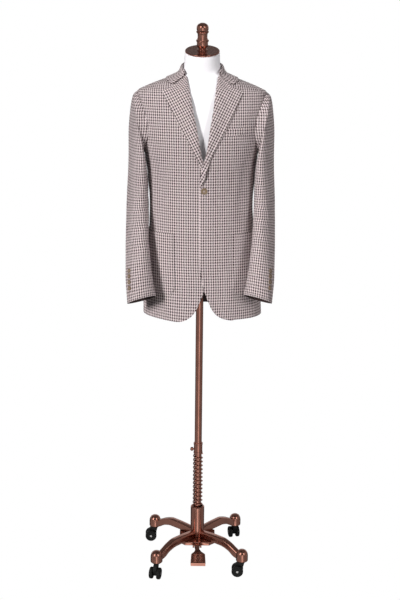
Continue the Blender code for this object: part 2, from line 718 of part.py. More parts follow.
def collar_wall(name):
    outer = [collar_section(place, -1) for place in COLLAR_PLACES[:-1]]
    outer += [collar_section(place, 1) for place in reversed(COLLAR_PLACES)]
    inner = []
    for i, row in enumerate(outer):
        before, after = outer[max(i - 1, 0)], outer[min(i + 1, len(outer) - 1)]
        in_row = []
        for j, point in enumerate(row):
            along = after[j] - before[j]
            down = row[min(j + 1, len(row) - 1)] - row[max(j - 1, 0)]
            in_row.append(point - CLOTH * down.cross(along).normalized())
        inner.append(in_row)
    return wall(name, outer, inner)


# Pockets
def patch_wall(name, side):
    outer, inner = [], []
    for height in POCKET_HEIGHTS:
        short = min(max(POCKET_ROUND - height + POCKET_HEIGHTS[0], 0.0), POCKET_ROUND)
        inset = POCKET_ROUND - math.sqrt(POCKET_ROUND**2 - short**2)
        start = turn_at(middle_at(height) + side * POCKET_INNER, height)
        end = side * math.radians(POCKET_OUTER_TURN)
        start += side * turn_for_length(start, height, inset)
        end -= side * turn_for_length(end, height, inset)
        out_row, in_row = [], []
        for k in range(POCKET_STEPS + 1):
            turn = start + (end - start) * k / POCKET_STEPS
            out_row.append(body_point(turn, height, POCKET_GAP + CLOTH))
            in_row.append(body_point(turn, height, POCKET_GAP))
        outer.append(out_row)
        inner.append(in_row)
    return wall(name, outer, inner)


def welt_wall(name):
    outer, inner = [], []
    for rise in (0.0, WELT_TALL / 2, WELT_TALL):
        out_row, in_row = [], []
        for k in range(WELT_STEPS + 1):
            across = WELT_FROM[0] + (WELT_TO[0] - WELT_FROM[0]) * k / WELT_STEPS
            height = WELT_FROM[1] + (WELT_TO[1] - WELT_FROM[1]) * k / WELT_STEPS + rise
            turn = turn_at(across, height)
            out_row.append(body_point(turn, height, LIE_GAP + CLOTH))
            in_row.append(body_point(turn, height, LIE_GAP))
        outer.append(out_row)
        inner.append(in_row)
    return wall(name, outer, inner)


# Sleeves: turn 0 is the outside, 90 the front, 180 the underarm
def sleeve_ring(index, degrees):
    if index == 0:
        return body_face(arm_turn(degrees), arm_height(degrees))
    section = dict(zip(SLEEVE_COLUMNS, SLEEVE_SECTIONS[index - 1]))
    turn = math.radians(degrees)
    fan, pitch = math.radians(section["fan"]), math.radians(section["pitch"])
    power = 2 / SLEEVE_SQUARENESS
    wide = section["half_width"] * signed_power(math.cos(turn), power)
    deep = section["half_depth"] * signed_power(math.sin(turn), power)
    reach = wide * Vector((math.cos(fan), 0, math.sin(fan)))
    reach += deep * Vector((0, -math.cos(pitch), math.sin(pitch)))
    spin = Matrix.Rotation(math.radians(-section["yaw"]), 3, "Z")
    return Vector((section["across"], section["deep"], section["height"])) + spin @ reach


def sleeve_face(place, degrees):
    """A smooth curve down the sleeve through the same turn of every ring."""
    last = len(SLEEVE_SECTIONS)
    i = min(int(place), last - 1)
    t = place - i
    p0, p1, p2, p3 = (sleeve_ring(min(max(k, 0), last), degrees) for k in (i - 1, i, i + 1, i + 2))
    return 0.5 * (
        2 * p1 + (p2 - p0) * t + (2 * p0 - 5 * p1 + 4 * p2 - p3) * t * t + (3 * p1 - p0 - 3 * p2 + p3) * t**3
    )


def sleeve_normal(place, degrees):
    last = len(SLEEVE_SECTIONS)
    above, below = max(place - PLACE_STEP, 0), min(place + PLACE_STEP, last)
    down = sleeve_face(below, degrees) - sleeve_face(above, degrees)
    around = sleeve_face(place, degrees + 1) - sleeve_face(place, degrees - 1)
    normal = around.cross(down).normalized()
    if place > 0:
        return normal
    panel = body_normal(arm_turn(degrees), arm_height(degrees))
    valley = ease((down.normalized().dot(panel) + VALLEY_SOFT) / (2 * VALLEY_SOFT))
    return panel.lerp(normal, valley).normalized()


def seam_turns(place):
    share = place / len(SLEEVE_SECTIONS)
    hind = HIND_SEAM[0] + (HIND_SEAM[1] - HIND_SEAM[0]) * share
    fore = FORE_SEAM[0] + (FORE_SEAM[1] - FORE_SEAM[0]) * share
    return hind, fore


def sleeve_wall(name, side, top):
    outer, inner = [], []
    for place in range(len(SLEEVE_SECTIONS) + 1):
        hind, fore = seam_turns(place)
        start, end = (hind, fore) if top else (fore, hind + 360)
        out_row, in_row = [], []
        for k in range(SLEEVE_STEPS + 1):
            degrees = start + (end - start) * k / SLEEVE_STEPS
            inset = (k == 0) - (k == SLEEVE_STEPS)
            speed = (sleeve_face(place, degrees + 1) - sleeve_face(place, degrees - 1)).length / 2
            degrees += inset * SEAM_GAP / 2 / speed
            point = sleeve_face(place, degrees)
            if place == 0:
                point += TOUCH_GAP * (sleeve_face(0.5, degrees) - point).normalized()
            under = point - CLOTH * sleeve_normal(place, degrees)
            out_row.append(Vector((side * point.x, point.y, point.z)))
            in_row.append(Vector((side * under.x, under.y, under.z)))
        outer.append(out_row)
        inner.append(in_row)
    return wall(name, outer, inner)


# Buttons
def button(name, radius, tall, around, at, normal):
    turn = Vector((0, 0, 1)).rotation_difference(normal).to_matrix().to_4x4()
    profile = [(radius * wide, tall * high) for wide, high in BUTTON_SHARES]
    return lathe(name, profile, around, Matrix.Translation(at) @ turn)


def make_coat():
    names = {1: "left", -1: "right"}
    made = []
    for side, word in names.items():
        made.append(front_wall("front_" + word, side))
        made.append(side_wall("side_" + word, side))
        made.append(back_wall("back_" + word, side))
        made.append(lapel_wall("lapel_" + word, side))
        made.append(patch_wall("pocket_" + word, side))
        made.append(sleeve_wall("sleeve_top_" + word, side, True))
        made.append(sleeve_wall("sleeve_under_" + word, side, False))
    made.append(collar_wall("collar"))
    made.append(welt_wall("pocket_breast"))
    for obj in made:
        paint(obj, CHECK_CLOTH, 0.0, 0.9)
    across, height = FRONT_BUTTON
    turn = turn_at(across, height)
    at = body_point(turn, height, lap_lift(across, height) + SEAM_GAP)
    normal = body_normal(turn, height)
    made = [button("button_front", FRONT_BUTTON_RADIUS, FRONT_BUTTON_TALL, FRONT_BUTTON_AROUND, at, normal)]
    for side, word in names.items():
        for count, place in enumerate(CUFF_BUTTON_PLACES, 1):
            normal = sleeve_normal(place, CUFF_BUTTON_TURN)
            at = sleeve_face(place, CUFF_BUTTON_TURN) + normal * CUFF_BUTTON_LIFT
            at.x, normal.x = side * at.x, side * normal.x
            name = f"button_cuff_{word}_{count}"
            made.append(button(name, CUFF_BUTTON_RADIUS, CUFF_BUTTON_TALL, CUFF_BUTTON_AROUND, at, normal))
    for obj in made:
        paint(obj, HORN, 0.0, 0.4)


# Form, cap and finial
def form_rows():
    rows = [dict(zip(FORM_COLUMNS, row)) for row in FORM_TRUNK]
    for height in FORM_SHOULDER_HEIGHTS:
        over = height + FORM_SHOULDER_DROP
        rows.append({
            "height": height,
            "half_width": min(body_value("half_width", over), FORM_WIDEST),
            "front_depth": body_value("front_depth", over) - FORM_DEPTH_EASE,
            "back_depth": body_value("back_depth", over) - FORM_DEPTH_EASE,
            "squareness": body_value("squareness", over),
            "deep": 0.0,
            "tilt": 0.0,
        })
    return rows + [dict(zip(FORM_COLUMNS, row)) for row in FORM_NECK]


def make_form():
    points, faces = [], []
    rows = form_rows()
    for row in rows:
        power, tilt = 2 / row["squareness"], math.radians(row["tilt"])
        for k in range(FORM_AROUND):
            turn = 2 * math.pi * k / FORM_AROUND
            depth = row["front_depth"] if math.cos(turn) > 0 else row["back_depth"]
            along = -depth * signed_power(math.cos(turn), power)
            across = row["half_width"] * signed_power(math.sin(turn), power)
            deep, high = row["deep"] + along * math.cos(tilt), row["height"] + along * math.sin(tilt)
            points.append(Vector((across, deep, high)))
    for i in range(len(rows) - 1):
        for k in range(FORM_AROUND):
            low, following = i * FORM_AROUND + k, i * FORM_AROUND + (k + 1) % FORM_AROUND
            faces.append([low, following, following + FORM_AROUND, low + FORM_AROUND])
    faces.append(list(range(FORM_AROUND)))
    faces.append(list(range((len(rows) - 1) * FORM_AROUND, len(rows) * FORM_AROUND)))
    paint(make_object("form", points, faces), WHITE_CLOTH, 0.0, 0.8)
    leaning = Matrix.Translation(NECK_TOP) @ Matrix.Rotation(NECK_TILT, 4, "X")
    paint(lathe("neck_cap", CAP_PROFILE, CAP_AROUND, leaning), BRONZE, 1.0, 0.25)
    paint(lathe("finial", FINIAL_PROFILE, FINIAL_AROUND, leaning), BRONZE, 1.0, 0.2)


# Pole, collar, screw, spring
def make_mast():
    here = Matrix.Identity(4)
    paint(rod("pole", POLE_RADIUS, POLE_BOTTOM, POLE_TOP, ROUND_AROUND, here), BRONZE, 1.0, 0.25)
    loop = (
        (COLLAR_BORE, COLLAR_LOW), (COLLAR_RADIUS, COLLAR_LOW),
        (COLLAR_RADIUS, COLLAR_HIGH), (COLLAR_BORE, COLLAR_HIGH),
    )
    collar = lathe("pole_collar", loop, ROUND_AROUND, here, ring=True)
    sideways = Matrix.Translation((0, 0, SCREW_HEIGHT)) @ Matrix.Rotation(-math.pi / 2, 4, "Y")
    hole = rod("hole", SCREW_HOLE, SCREW_HOLE_FROM, SCREW_HOLE_TO, SCREW_HOLE_AROUND, sideways)
    combine(collar, hole, "DIFFERENCE")
    paint(collar, BRONZE, 1.0, 0.3)
    paint(lathe("thumb_screw", SCREW_PROFILE, SCREW_AROUND, sideways), BRONZE, 1.0, 0.3)
    points, faces = [], []
    count = SPRING_TURNS * SPRING_PER_TURN
    for i in range(count + 1):
        turn = 2 * math.pi * i / SPRING_PER_TURN
        height = SPRING_LOW + (SPRING_HIGH - SPRING_LOW) * i / count
        for k in range(SPRING_SIDES):
            round_wire = 2 * math.pi * k / SPRING_SIDES
            radius = SPRING_RADIUS + SPRING_WIRE * math.cos(round_wire)
            rise = SPRING_WIRE * math.sin(round_wire)
            points.append((radius * math.cos(turn), radius * math.sin(turn), height + rise))
    for i in range(count):
        for k in range(SPRING_SIDES):
            low, following = i * SPRING_SIDES + k, i * SPRING_SIDES + (k + 1) % SPRING_SIDES
            faces.append([low, following, following + SPRING_SIDES, low + SPRING_SIDES])
    faces.append(list(range(SPRING_SIDES)))
    faces.append(list(range(count * SPRING_SIDES, (count + 1) * SPRING_SIDES)))
    paint(make_object("spring", points, faces), BRONZE, 1.0, 0.3)


# Hub, plate, legs, pedal
def make_leg(name, turn):
    points, faces = [], []
    for row in LEG_SECTIONS:
        section = dict(zip(LEG_COLUMNS, row))
        half, top = section["half_width"], section["top"]
        low, edge, shoulder = top - section["tall"], half - LEG_BEVEL, top - LEG_BEVEL
        ring = ((-half, low), (half, low), (half, shoulder), (edge, top), (-edge, top), (-half, shoulder))
        points += [Vector((section["reach"], y, z)) for y, z in ring]
    sides, count = len(ring), len(LEG_SECTIONS)
    for i in range(count - 1):
        for k in range(sides):
            low, following = sides * i + k, sides * i + (k + 1) % sides
            faces.append([low, following, following + sides, low + sides])
    faces.append(list(range(sides)))
    faces.append(list(range(sides * (count - 1), sides * count)))
    leg = make_object(name, points, faces)
    out = Matrix.Translation((LEG_REACH, 0, 0))
    combine(leg, lathe("dome", DOME_PROFILE, DOME_AROUND, out), "UNION")
    combine(leg, rod("bore", STEM_BORE, STEM_BORE_LOW, STEM_BORE_HIGH, STEM_AROUND, out), "DIFFERENCE")
    back_turn = Matrix.Rotation(-math.radians(turn), 4, "Z")
    waist = rod("waist", HUB_RADIUS + SEAM_GAP, WAIST_LOW, WAIST_HIGH, HUB_AROUND, back_turn)
    combine(leg, waist, "DIFFERENCE")
    leg.data.transform(Matrix.Rotation(math.radians(turn), 4, "Z"))
    return leg


def make_base():
    here = Matrix.Identity(4)
    hub_loop = (
        (HUB_BORE, HUB_LOW), (HUB_RADIUS, HUB_LOW), (HUB_RADIUS, HUB_HIGH - HUB_CHAMFER),
        (HUB_RADIUS - HUB_CHAMFER, HUB_HIGH), (HUB_MOUTH_RADIUS, HUB_HIGH),
        (HUB_MOUTH_RADIUS, HUB_MOUTH_FLOOR), (HUB_BORE, HUB_MOUTH_FLOOR),
    )
    paint(lathe("hub", hub_loop, HUB_AROUND, here, ring=True), BRONZE, 1.0, 0.3)
    for word, turn in LEG_TURNS.items():
        paint(make_leg("leg_" + word, turn), BRONZE, 1.0, 0.3)
    side, corner = PLATE_HALF, PLATE_HALF - PLATE_CORNER
    outline = (
        (-corner, -side), (corner, -side), (side, -corner), (side, corner),
        (corner, side), (-corner, side), (-side, corner), (-side, -corner),
    )
    plate = prism("base_plate", outline, PLATE_LOW, PLATE_HIGH, here)
    pin = Matrix.Translation((0, PIN_AT[0], PIN_AT[1])) @ Matrix.Rotation(math.pi / 2, 4, "Y")
    for low, high in ((EAR_FROM, EAR_TO), (-EAR_TO, -EAR_FROM)):
        ear = rod("ear", EAR_RADIUS, low, high, EAR_AROUND, pin)
        back = PIN_AT[0] + EAR_BACK
        shape = ((low, back), (low, PIN_AT[0]), (high, PIN_AT[0]), (high, back))
        combine(ear, prism("root", shape, PIN_AT[1] - EAR_BELOW, PIN_AT[1] + EAR_ABOVE, here), "UNION")
        combine(plate, ear, "UNION")
    hole = rod("pin_hole", PIN_RADIUS + PIN_EASE, -DRILL_HALF, DRILL_HALF, EAR_AROUND, pin)
    combine(plate, hole, "DIFFERENCE")
    hole = rod("pole_hole", PLATE_HOLE, WAIST_LOW, HUB_LOW + DRILL_HALF, PLATE_HOLE_AROUND, here)
    combine(plate, hole, "DIFFERENCE")
    paint(plate, BRONZE, 1.0, 0.35)
    points, faces = [], []
    for row in PEDAL_SECTIONS:
        section = dict(zip(PEDAL_COLUMNS, row))
        half, up = section["half_width"], section["tall"] / 2
        ring = ((-half, -up), (half, -up), (half, up), (-half, up))
        points += [Vector((section["across"] + x, section["deep"], section["height"] + z)) for x, z in ring]
    sides, count = len(ring), len(PEDAL_SECTIONS)
    for i in range(count - 1):
        for k in range(sides):
            low, following = sides * i + k, sides * i + (k + 1) % sides
            faces.append([low, following, following + sides, low + sides])
    faces.append(list(range(sides)))
    faces.append(list(range(sides * (count - 1), sides * count)))
    pedal = make_object("pedal", points, faces)
    combine(pedal, rod("trunnion", PIN_RADIUS, -PIN_HALF, PIN_HALF, PIN_AROUND, pin), "UNION")
    paint(pedal, BRONZE, 1.0, 0.35)


# Castors
def make_castor(word):
    swivel = math.radians(LEG_TURNS[word])
    centre = Vector((LEG_REACH * math.cos(swivel), LEG_REACH * math.sin(swivel), 0))
    place = Matrix.Translation(centre) @ Matrix.Rotation(math.radians(CASTOR_TURNS[word]), 4, "Z")
    fork = rod("fork_" + word, FORK_PLATE_RADIUS, FORK_PLATE_LOW, FORK_PLATE_HIGH, FORK_PLATE_AROUND, place)
    combine(fork, rod("stem", STEM_RADIUS, STEM_LOW, STEM_HIGH, STEM_AROUND, place), "UNION")
    upright = place @ Matrix.Rotation(math.pi / 2, 4, "X")
    combine(fork, prism("web", FORK_WEB_SHAPE, -FORK_WEB_HALF, FORK_WEB_HALF, upright), "UNION")
    axle_high = WHEEL_RADIUS * math.cos(math.pi / WHEEL_AROUND)
    axle_place = place @ Matrix.Translation((CASTOR_TRAIL, 0, axle_high))
    axle_place = axle_place @ Matrix.Rotation(math.pi / 2, 4, "X")
    hole = rod("axle_hole", AXLE_RADIUS + SEAM_GAP, -DRILL_HALF, DRILL_HALF, AXLE_AROUND, axle_place)
    combine(fork, hole, "DIFFERENCE")
    paint(fork, BLACK, 0.0, 0.5)
    end = WHEEL_TO + SEAM_GAP
    axle_profile = (
        (0.0, -end - AXLE_HEAD_TALL), (AXLE_HEAD_RADIUS, -end - AXLE_HEAD_TALL), (AXLE_HEAD_RADIUS, -end),
        (AXLE_RADIUS, -end), (AXLE_RADIUS, end), (AXLE_HEAD_RADIUS, end),
        (AXLE_HEAD_RADIUS, end + AXLE_HEAD_TALL), (0.0, end + AXLE_HEAD_TALL),
    )
    paint(lathe("axle_" + word, axle_profile, AXLE_AROUND, axle_place), BRONZE, 1.0, 0.3)
    for letter, low, high in (("a", -WHEEL_TO, -WHEEL_FROM), ("b", WHEEL_FROM, WHEEL_TO)):
        wheel_loop = ((WHEEL_BORE, low), (WHEEL_RADIUS, low), (WHEEL_RADIUS, high), (WHEEL_BORE, high))
        name = f"wheel_{word}_{letter}"
        paint(lathe(name, wheel_loop, WHEEL_AROUND, axle_place, ring=True), BLACK, 0.0, 0.45)


make_coat()
make_form()
make_mast()
make_base()
for castor in LEG_TURNS:
    make_castor(castor)
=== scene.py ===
import math

import bmesh
import bpy
import numpy as np
from mathutils import Matrix, Vector


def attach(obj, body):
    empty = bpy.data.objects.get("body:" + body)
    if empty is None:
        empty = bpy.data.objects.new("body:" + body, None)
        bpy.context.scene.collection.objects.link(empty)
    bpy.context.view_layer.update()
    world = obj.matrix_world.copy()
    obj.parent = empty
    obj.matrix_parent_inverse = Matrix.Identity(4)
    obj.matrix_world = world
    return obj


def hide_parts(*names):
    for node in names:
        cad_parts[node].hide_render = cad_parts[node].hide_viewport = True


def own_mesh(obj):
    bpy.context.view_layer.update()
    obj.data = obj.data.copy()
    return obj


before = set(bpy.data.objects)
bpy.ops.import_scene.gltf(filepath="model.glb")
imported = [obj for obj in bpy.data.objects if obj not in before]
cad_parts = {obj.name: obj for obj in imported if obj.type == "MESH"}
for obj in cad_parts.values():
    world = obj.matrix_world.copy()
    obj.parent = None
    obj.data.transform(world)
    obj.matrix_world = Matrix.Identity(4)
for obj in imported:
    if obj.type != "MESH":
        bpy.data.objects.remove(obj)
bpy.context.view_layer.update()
scene = bpy.context.scene

# camera first, at the photo's angle
photoCamera = {
    "across": 0.0010, "away": 3.82, "height": 1.8833, "tipDown": 13.84, "roll": 0.62,
    "lens": 69.96, "sensor": 36.0,
}


def spun(degrees, axis):
    return Matrix.Rotation(math.radians(degrees), 4, axis)


def placeCamera():
    lens = bpy.data.cameras.new("photoCamera")
    lens.lens = photoCamera["lens"]
    lens.sensor_width = photoCamera["sensor"]
    obj = bpy.data.objects.new("photoCamera", lens)
    scene.collection.objects.link(obj)
    stand = Matrix.Translation((photoCamera["across"], -photoCamera["away"], photoCamera["height"]))
    obj.matrix_world = stand @ spun(90 - photoCamera["tipDown"], "X") @ spun(photoCamera["roll"], "Z")
    scene.camera = obj


placeCamera()
print("camera placed")


# a value on its way through a node tree, for shaders and geometry alike
class Field:
    def __init__(self, tree, socket=None):
        self.tree = tree
        self.socket = socket

    def node(self, kind, settings=None, values=None, out=0):
        made = self.tree.nodes.new(kind)
        for name, value in (settings or {}).items():
            setattr(made, name, value)
        for key, value in (values or {}).items():
            if isinstance(value, Field):
                self.tree.links.new(value.socket, made.inputs[key])
            else:
                made.inputs[key].default_value = value
        return Field(self.tree, made.outputs[out])

    def calc(self, operation, other=0.0, swapped=False):
        pair = (other, self) if swapped else (self, other)
        return self.node("ShaderNodeMath", {"operation": operation}, dict(enumerate(pair)))

    def __add__(self, other):
        return self.calc("ADD", other)

    def __sub__(self, other):
        return self.calc("SUBTRACT", other)

    def __rsub__(self, other):
        return self.calc("SUBTRACT", other, True)

    def __mul__(self, other):
        return self.calc("MULTIPLY", other)

    def __mod__(self, other):
        return self.calc("FLOORED_MODULO", other)

    def __lt__(self, other):
        return self.calc("LESS_THAN", other)

    __radd__ = __add__
    __rmul__ = __mul__

    def floor(self):
        return self.calc("FLOOR")

    def absolute(self):
        return self.calc("ABSOLUTE")

    def ranged(self, low, over):
        return self * over + low

    def axis(self, letter):
        return self.node("ShaderNodeSeparateXYZ", {}, {0: self}, letter)

    def mix(self, first, second):
        return self.node("ShaderNodeMix", {"data_type": "RGBA"}, {0: self, 6: first, 7: second}, 2)

    def stretched(self, scale):
        return self.node("ShaderNodeMapping", {}, {"Vector": self, "Scale": scale})

    def noise(self, scale, detail=2.0, rough=0.5):
        values = {"Vector": self, "Scale": scale, "Detail": detail, "Roughness": rough}
        return self.node("ShaderNodeTexNoise", {}, values)

    def bump(self, strength, distance):
        return self.node("ShaderNodeBump", {}, {"Height": self, "Strength": strength, "Distance": distance})


def newFinish(name, fixed):
    material = bpy.data.materials.new(name)
    material.use_nodes = True
    tree = material.node_tree
    shader = tree.nodes["Principled BSDF"]
    for socket, value in fixed.items():
        shader.inputs[socket].default_value = value
    return material, shader, Field(tree).node("ShaderNodeTexCoord", out="Object")


def paint(shader, base, rough, normal=None):
    for socket, field in (("Base Color", base), ("Roughness", rough), ("Normal", normal)):
        if field is not None:
            field.tree.links.new(field.socket, shader.inputs[socket])


def colour(red, green, blue):
    return (red, green, blue, 1.0)


# wool check: eight threads a repeat, four dark and four light each way, woven two over two
woolCheck = {
    "repeatAcross": 0.0076, "repeatUp": 0.0091, "threads": 8.0, "darkThreads": 4.0, "twillRepeat": 4.0,
    "twillOver": 2.0, "cream": colour(0.83, 0.715, 0.715), "oat": colour(0.78, 0.665, 0.66),
    "warpBrown": colour(0.058, 0.030, 0.034), "weftBrown": colour(0.046, 0.023, 0.027),
    "phase": 0.0019, "warpShare": 0.14, "wobble": 0.0007, "wobbleScale": 55.0, "slub": 0.20,
    "fuzzScale": 900.0, "fuzzTall": 0.6, "cloudScale": 6.0, "threadShare": 0.35, "fuzzShare": 0.40,
    "cloudShare": 0.25, "rough": (0.82, 0.14), "relief": (0.55, 0.0005),
}


def makeWoolCheck():
    material, shader, place = newFinish("woolCheck", {
        "Sheen Weight": 0.12, "Sheen Roughness": 0.5, "Specular IOR Level": 0.22,
    })
    grain = place.node("ShaderNodeUVMap", {"uv_map": "grain"})
    shift = (place.noise(woolCheck["wobbleScale"], 1.0) - 0.5) * woolCheck["wobble"]
    # the phase puts a light stripe of the check along the over front's edge: the cloth's own check, placed
    # there as a painted highlight on that edge
    across = grain.axis("X") + shift + woolCheck["phase"]
    up = grain.axis("Y") + shift
    warp = across * (woolCheck["threads"] / woolCheck["repeatAcross"])
    weft = up * (woolCheck["threads"] / woolCheck["repeatUp"])
    warpDark = (warp % woolCheck["threads"]) < woolCheck["darkThreads"]
    weftDark = (weft % woolCheck["threads"]) < woolCheck["darkThreads"]
    warpOver = ((warp.floor() + weft.floor()) % woolCheck["twillRepeat"]) < woolCheck["twillOver"]
    warpColour = warpDark.mix(woolCheck["cream"], woolCheck["warpBrown"])
    weftColour = weftDark.mix(woolCheck["oat"], woolCheck["weftBrown"])
    woven = (woolCheck["warpShare"] + warpOver * (1.0 - woolCheck["warpShare"])).mix(weftColour, warpColour)
    thread = warpOver.mix(weft, warp)
    single = thread.node("ShaderNodeTexWhiteNoise", {"noise_dimensions": "1D"}, {"W": thread.floor()})
    fuzz = place.noise(woolCheck["fuzzScale"])
    cloud = place.noise(woolCheck["cloudScale"])
    uneven = woolCheck["threadShare"] * single + woolCheck["fuzzShare"] * fuzz
    tone = 1.0 - woolCheck["slub"] * (uneven + woolCheck["cloudShare"] * cloud)
    shaded = woven.node("ShaderNodeVectorMath", {"operation": "SCALE"}, {0: woven, "Scale": tone})
    rib = 1.0 - ((thread % 1.0) * 2.0 - 1.0).absolute() + fuzz * woolCheck["fuzzTall"]
    paint(shader, shaded, fuzz.ranged(*woolCheck["rough"]), rib.bump(*woolCheck["relief"]))
    return material


# the coat's inside: a plain twill seen only in the cuffs and under the hem, coloured near-black as painted
# shade for the dark insides of the cuffs
paintedShadeInside = {
    "dark": colour(0.030, 0.018, 0.018), "light": colour(0.060, 0.038, 0.036),
    "twill": 900.0, "cloudScale": 30.0, "rough": (0.5, 0.2), "relief": (0.3, 0.0003),
}


def makePaintedShadeInside():
    material, shader, place = newFinish("paintedShadeInside", {"Specular IOR Level": 0.3})
    twill = ((place.axis("X") + place.axis("Z")) * paintedShadeInside["twill"]) % 1.0
    cloud = place.noise(paintedShadeInside["cloudScale"])
    base = (twill * 0.5 + cloud * 0.5).mix(paintedShadeInside["dark"], paintedShadeInside["light"])
    paint(shader, base, cloud.ranged(*paintedShadeInside["rough"]), twill.bump(*paintedShadeInside["relief"]))
    return material


# white jersey over the form
jersey = {
    "white": colour(0.945, 0.92, 0.945), "shade": colour(0.90, 0.875, 0.90),
    "wale": 820.0, "course": 640.0, "cloudScale": 14.0, "rough": (0.75, 0.2), "relief": (0.35, 0.0003),
}


def makeJersey():
    material, shader, place = newFinish("jersey", {"Sheen Weight": 0.15, "Specular IOR Level": 0.25})
    wale = ((place.axis("X") * jersey["wale"]) % 1.0 - 0.5).absolute()
    course = ((place.axis("Z") * jersey["course"]) % 1.0 - 0.5).absolute()
    cloud = place.noise(jersey["cloudScale"], 3.0)
    knit = wale + course
    base = (cloud * 0.5 + knit * 0.25).mix(jersey["white"], jersey["shade"])
    paint(shader, base, cloud.ranged(*jersey["rough"]), knit.bump(*jersey["relief"]))
    return material


# polished bronze of the cap and the stand
bronze = {
    "rose": colour(0.52, 0.240, 0.175), "brown": colour(0.29, 0.120, 0.088),
    "rough": (0.12, 0.15), "cloudShare": 0.6, "brushShare": 0.4, "relief": (0.05, 0.0003),
    "cloudScale": 22.0, "brushScale": (420.0, 420.0, 30.0),
}


def makeBronze():
    fixed = {"Metallic": 1.0, "Coat Roughness": 0.08, "Coat Weight": 0.25}
    material, shader, place = newFinish("bronze", fixed)
    cloud = place.noise(bronze["cloudScale"], 4.0, 0.6)
    brushed = place.stretched(bronze["brushScale"]).noise(1.0, 3.0)
    worn = bronze["cloudShare"] * cloud + bronze["brushShare"] * brushed
    base = cloud.mix(bronze["rose"], bronze["brown"])
    paint(shader, base, worn.ranged(*bronze["rough"]), brushed.bump(*bronze["relief"]))
    return material


# horn buttons: olive brown with darker streaks
horn = {
    "olive": colour(0.270, 0.185, 0.110), "dark": colour(0.110, 0.075, 0.046),
    "streaks": (90.0, 90.0, 320.0), "contrast": (-0.15, 1.3), "rough": (0.28, 0.2), "relief": (0.08, 0.0003),
}


def makeHorn():
    material, shader, place = newFinish("horn", {"Coat Weight": 0.35, "Coat Roughness": 0.15})
    streak = place.stretched(horn["streaks"]).noise(1.0, 4.0, 0.6)
    base = streak.ranged(*horn["contrast"]).mix(horn["olive"], horn["dark"])
    paint(shader, base, streak.ranged(*horn["rough"]), streak.bump(*horn["relief"]))
    return material


# moulded black nylon of the castors
nylon = {
    "black": colour(0.005, 0.005, 0.005), "scuffed": colour(0.013, 0.013, 0.012),
    "scuffScale": 160.0, "scuffShare": 0.8, "pebbleScale": 1400.0,
    "rough": (0.32, 0.25), "relief": (0.12, 0.0002),
}


def makeNylon():
    material, shader, place = newFinish("nylon", {"Specular IOR Level": 0.14})
    scuff = place.noise(nylon["scuffScale"], 4.0, 0.65)
    pebble = place.noise(nylon["pebbleScale"], 1.0)
    base = (scuff * nylon["scuffShare"]).mix(nylon["black"], nylon["scuffed"])
    paint(shader, base, scuff.ranged(*nylon["rough"]), pebble.bump(*nylon["relief"]))
    return material


# bright steel of the axle ends
steelPin = {
    "bright": colour(0.42, 0.41, 0.40), "grey": colour(0.28, 0.27, 0.26),
    "cloudScale": 240.0, "rough": (0.18, 0.2),
}


def makeSteel():
    material, shader, place = newFinish("steelPin", {"Metallic": 1.0})
    cloud = place.noise(steelPin["cloudScale"], 3.0)
    paint(shader, cloud.mix(steelPin["bright"], steelPin["grey"]), cloud.ranged(*steelPin["rough"]))
    return material


# sewing thread, in the mean tone of the cloth
sewingThread = {
    "light": colour(0.52, 0.43, 0.42), "dark": colour(0.26, 0.20, 0.19), "ply": 2600.0, "rough": (0.6, 0.25),
}


def makeThread():
    material, shader, place = newFinish("sewingThread", {"Sheen Weight": 0.2})
    ply = place.noise(sewingThread["ply"], 1.0)
    paint(shader, ply.mix(sewingThread["dark"], sewingThread["light"]), ply.ranged(*sewingThread["rough"]))
    return material


finishes = {
    "woolCheck": makeWoolCheck(), "paintedShadeInside": makePaintedShadeInside(), "jersey": makeJersey(),
    "bronze": makeBronze(), "horn": makeHorn(), "nylon": makeNylon(), "steelPin": makeSteel(),
    "sewingThread": makeThread(),
}
print("finishes made:", len(finishes))


# curves through short tables
def columnOf(table, name):
    index = table["columns"].index(name)
    return np.array([row[index] for row in table["rows"]], float)


# a curve that doesn't overshoot its points
def curveThrough(places, values):
    steps = np.diff(places)
    rises = np.diff(values) / steps
    slopes = np.concatenate((rises[:1], np.zeros(len(rises) - 1), rises[-1:]))
    for i in range(1, len(rises)):
        if rises[i - 1] * rises[i] > 0:
            near = 2 * steps[i] + steps[i - 1]
            far = steps[i] + 2 * steps[i - 1]
            slopes[i] = (near + far) / (near / rises[i - 1] + far / rises[i])

    def at(where):
        where = np.clip(where, places[0], places[-1])
        i = np.clip(np.searchsorted(places, where, side="right") - 1, 0, len(steps) - 1)
        t = (where - places[i]) / steps[i]
        left = slopes[i] * steps[i]
        right = slopes[i + 1] * steps[i]
        rising = values[i] * (1 + 2 * t) * (1 - t) ** 2 + left * t * (1 - t) ** 2
        return rising + values[i + 1] * t * t * (3 - 2 * t) + right * t * t * (t - 1)

    return at


# the first column is where, the others are what
def curvesOf(table):
    first, *others = table["columns"]
    return {name: curveThrough(columnOf(table, first), columnOf(table, name)) for name in others}


def ease(t):
    t = np.clip(t, 0.0, 1.0)
    return t * t * (3 - 2 * t)


def fade(value, start, over):
    return ease((value - start) / over)


def lerp(a, b, t):
    return a + (b - a) * t


def signedPower(value, power):
    return np.sign(value) * np.abs(value) ** power


def unit(vectors):
    return vectors / np.maximum(np.linalg.norm(vectors, axis=-1, keepdims=True), 1e-12)


def runLength(points):
    steps = np.linalg.norm(np.diff(points, axis=-2), axis=-1)
    return np.concatenate((np.zeros(steps.shape[:-1] + (1,)), np.cumsum(steps, axis=-1)), axis=-1)


def spaced(stops, counts):
    parts = [np.linspace(a, b, n, endpoint=False) for a, b, n in zip(stops, stops[1:], counts)]
    return np.concatenate(parts + [np.array(stops[-1:])])


def edgeShares(count, even=0.4):
    plain = np.linspace(0.0, 1.0, count + 1)
    return even * plain + (1 - even) * (0.5 - 0.5 * np.cos(np.pi * plain))


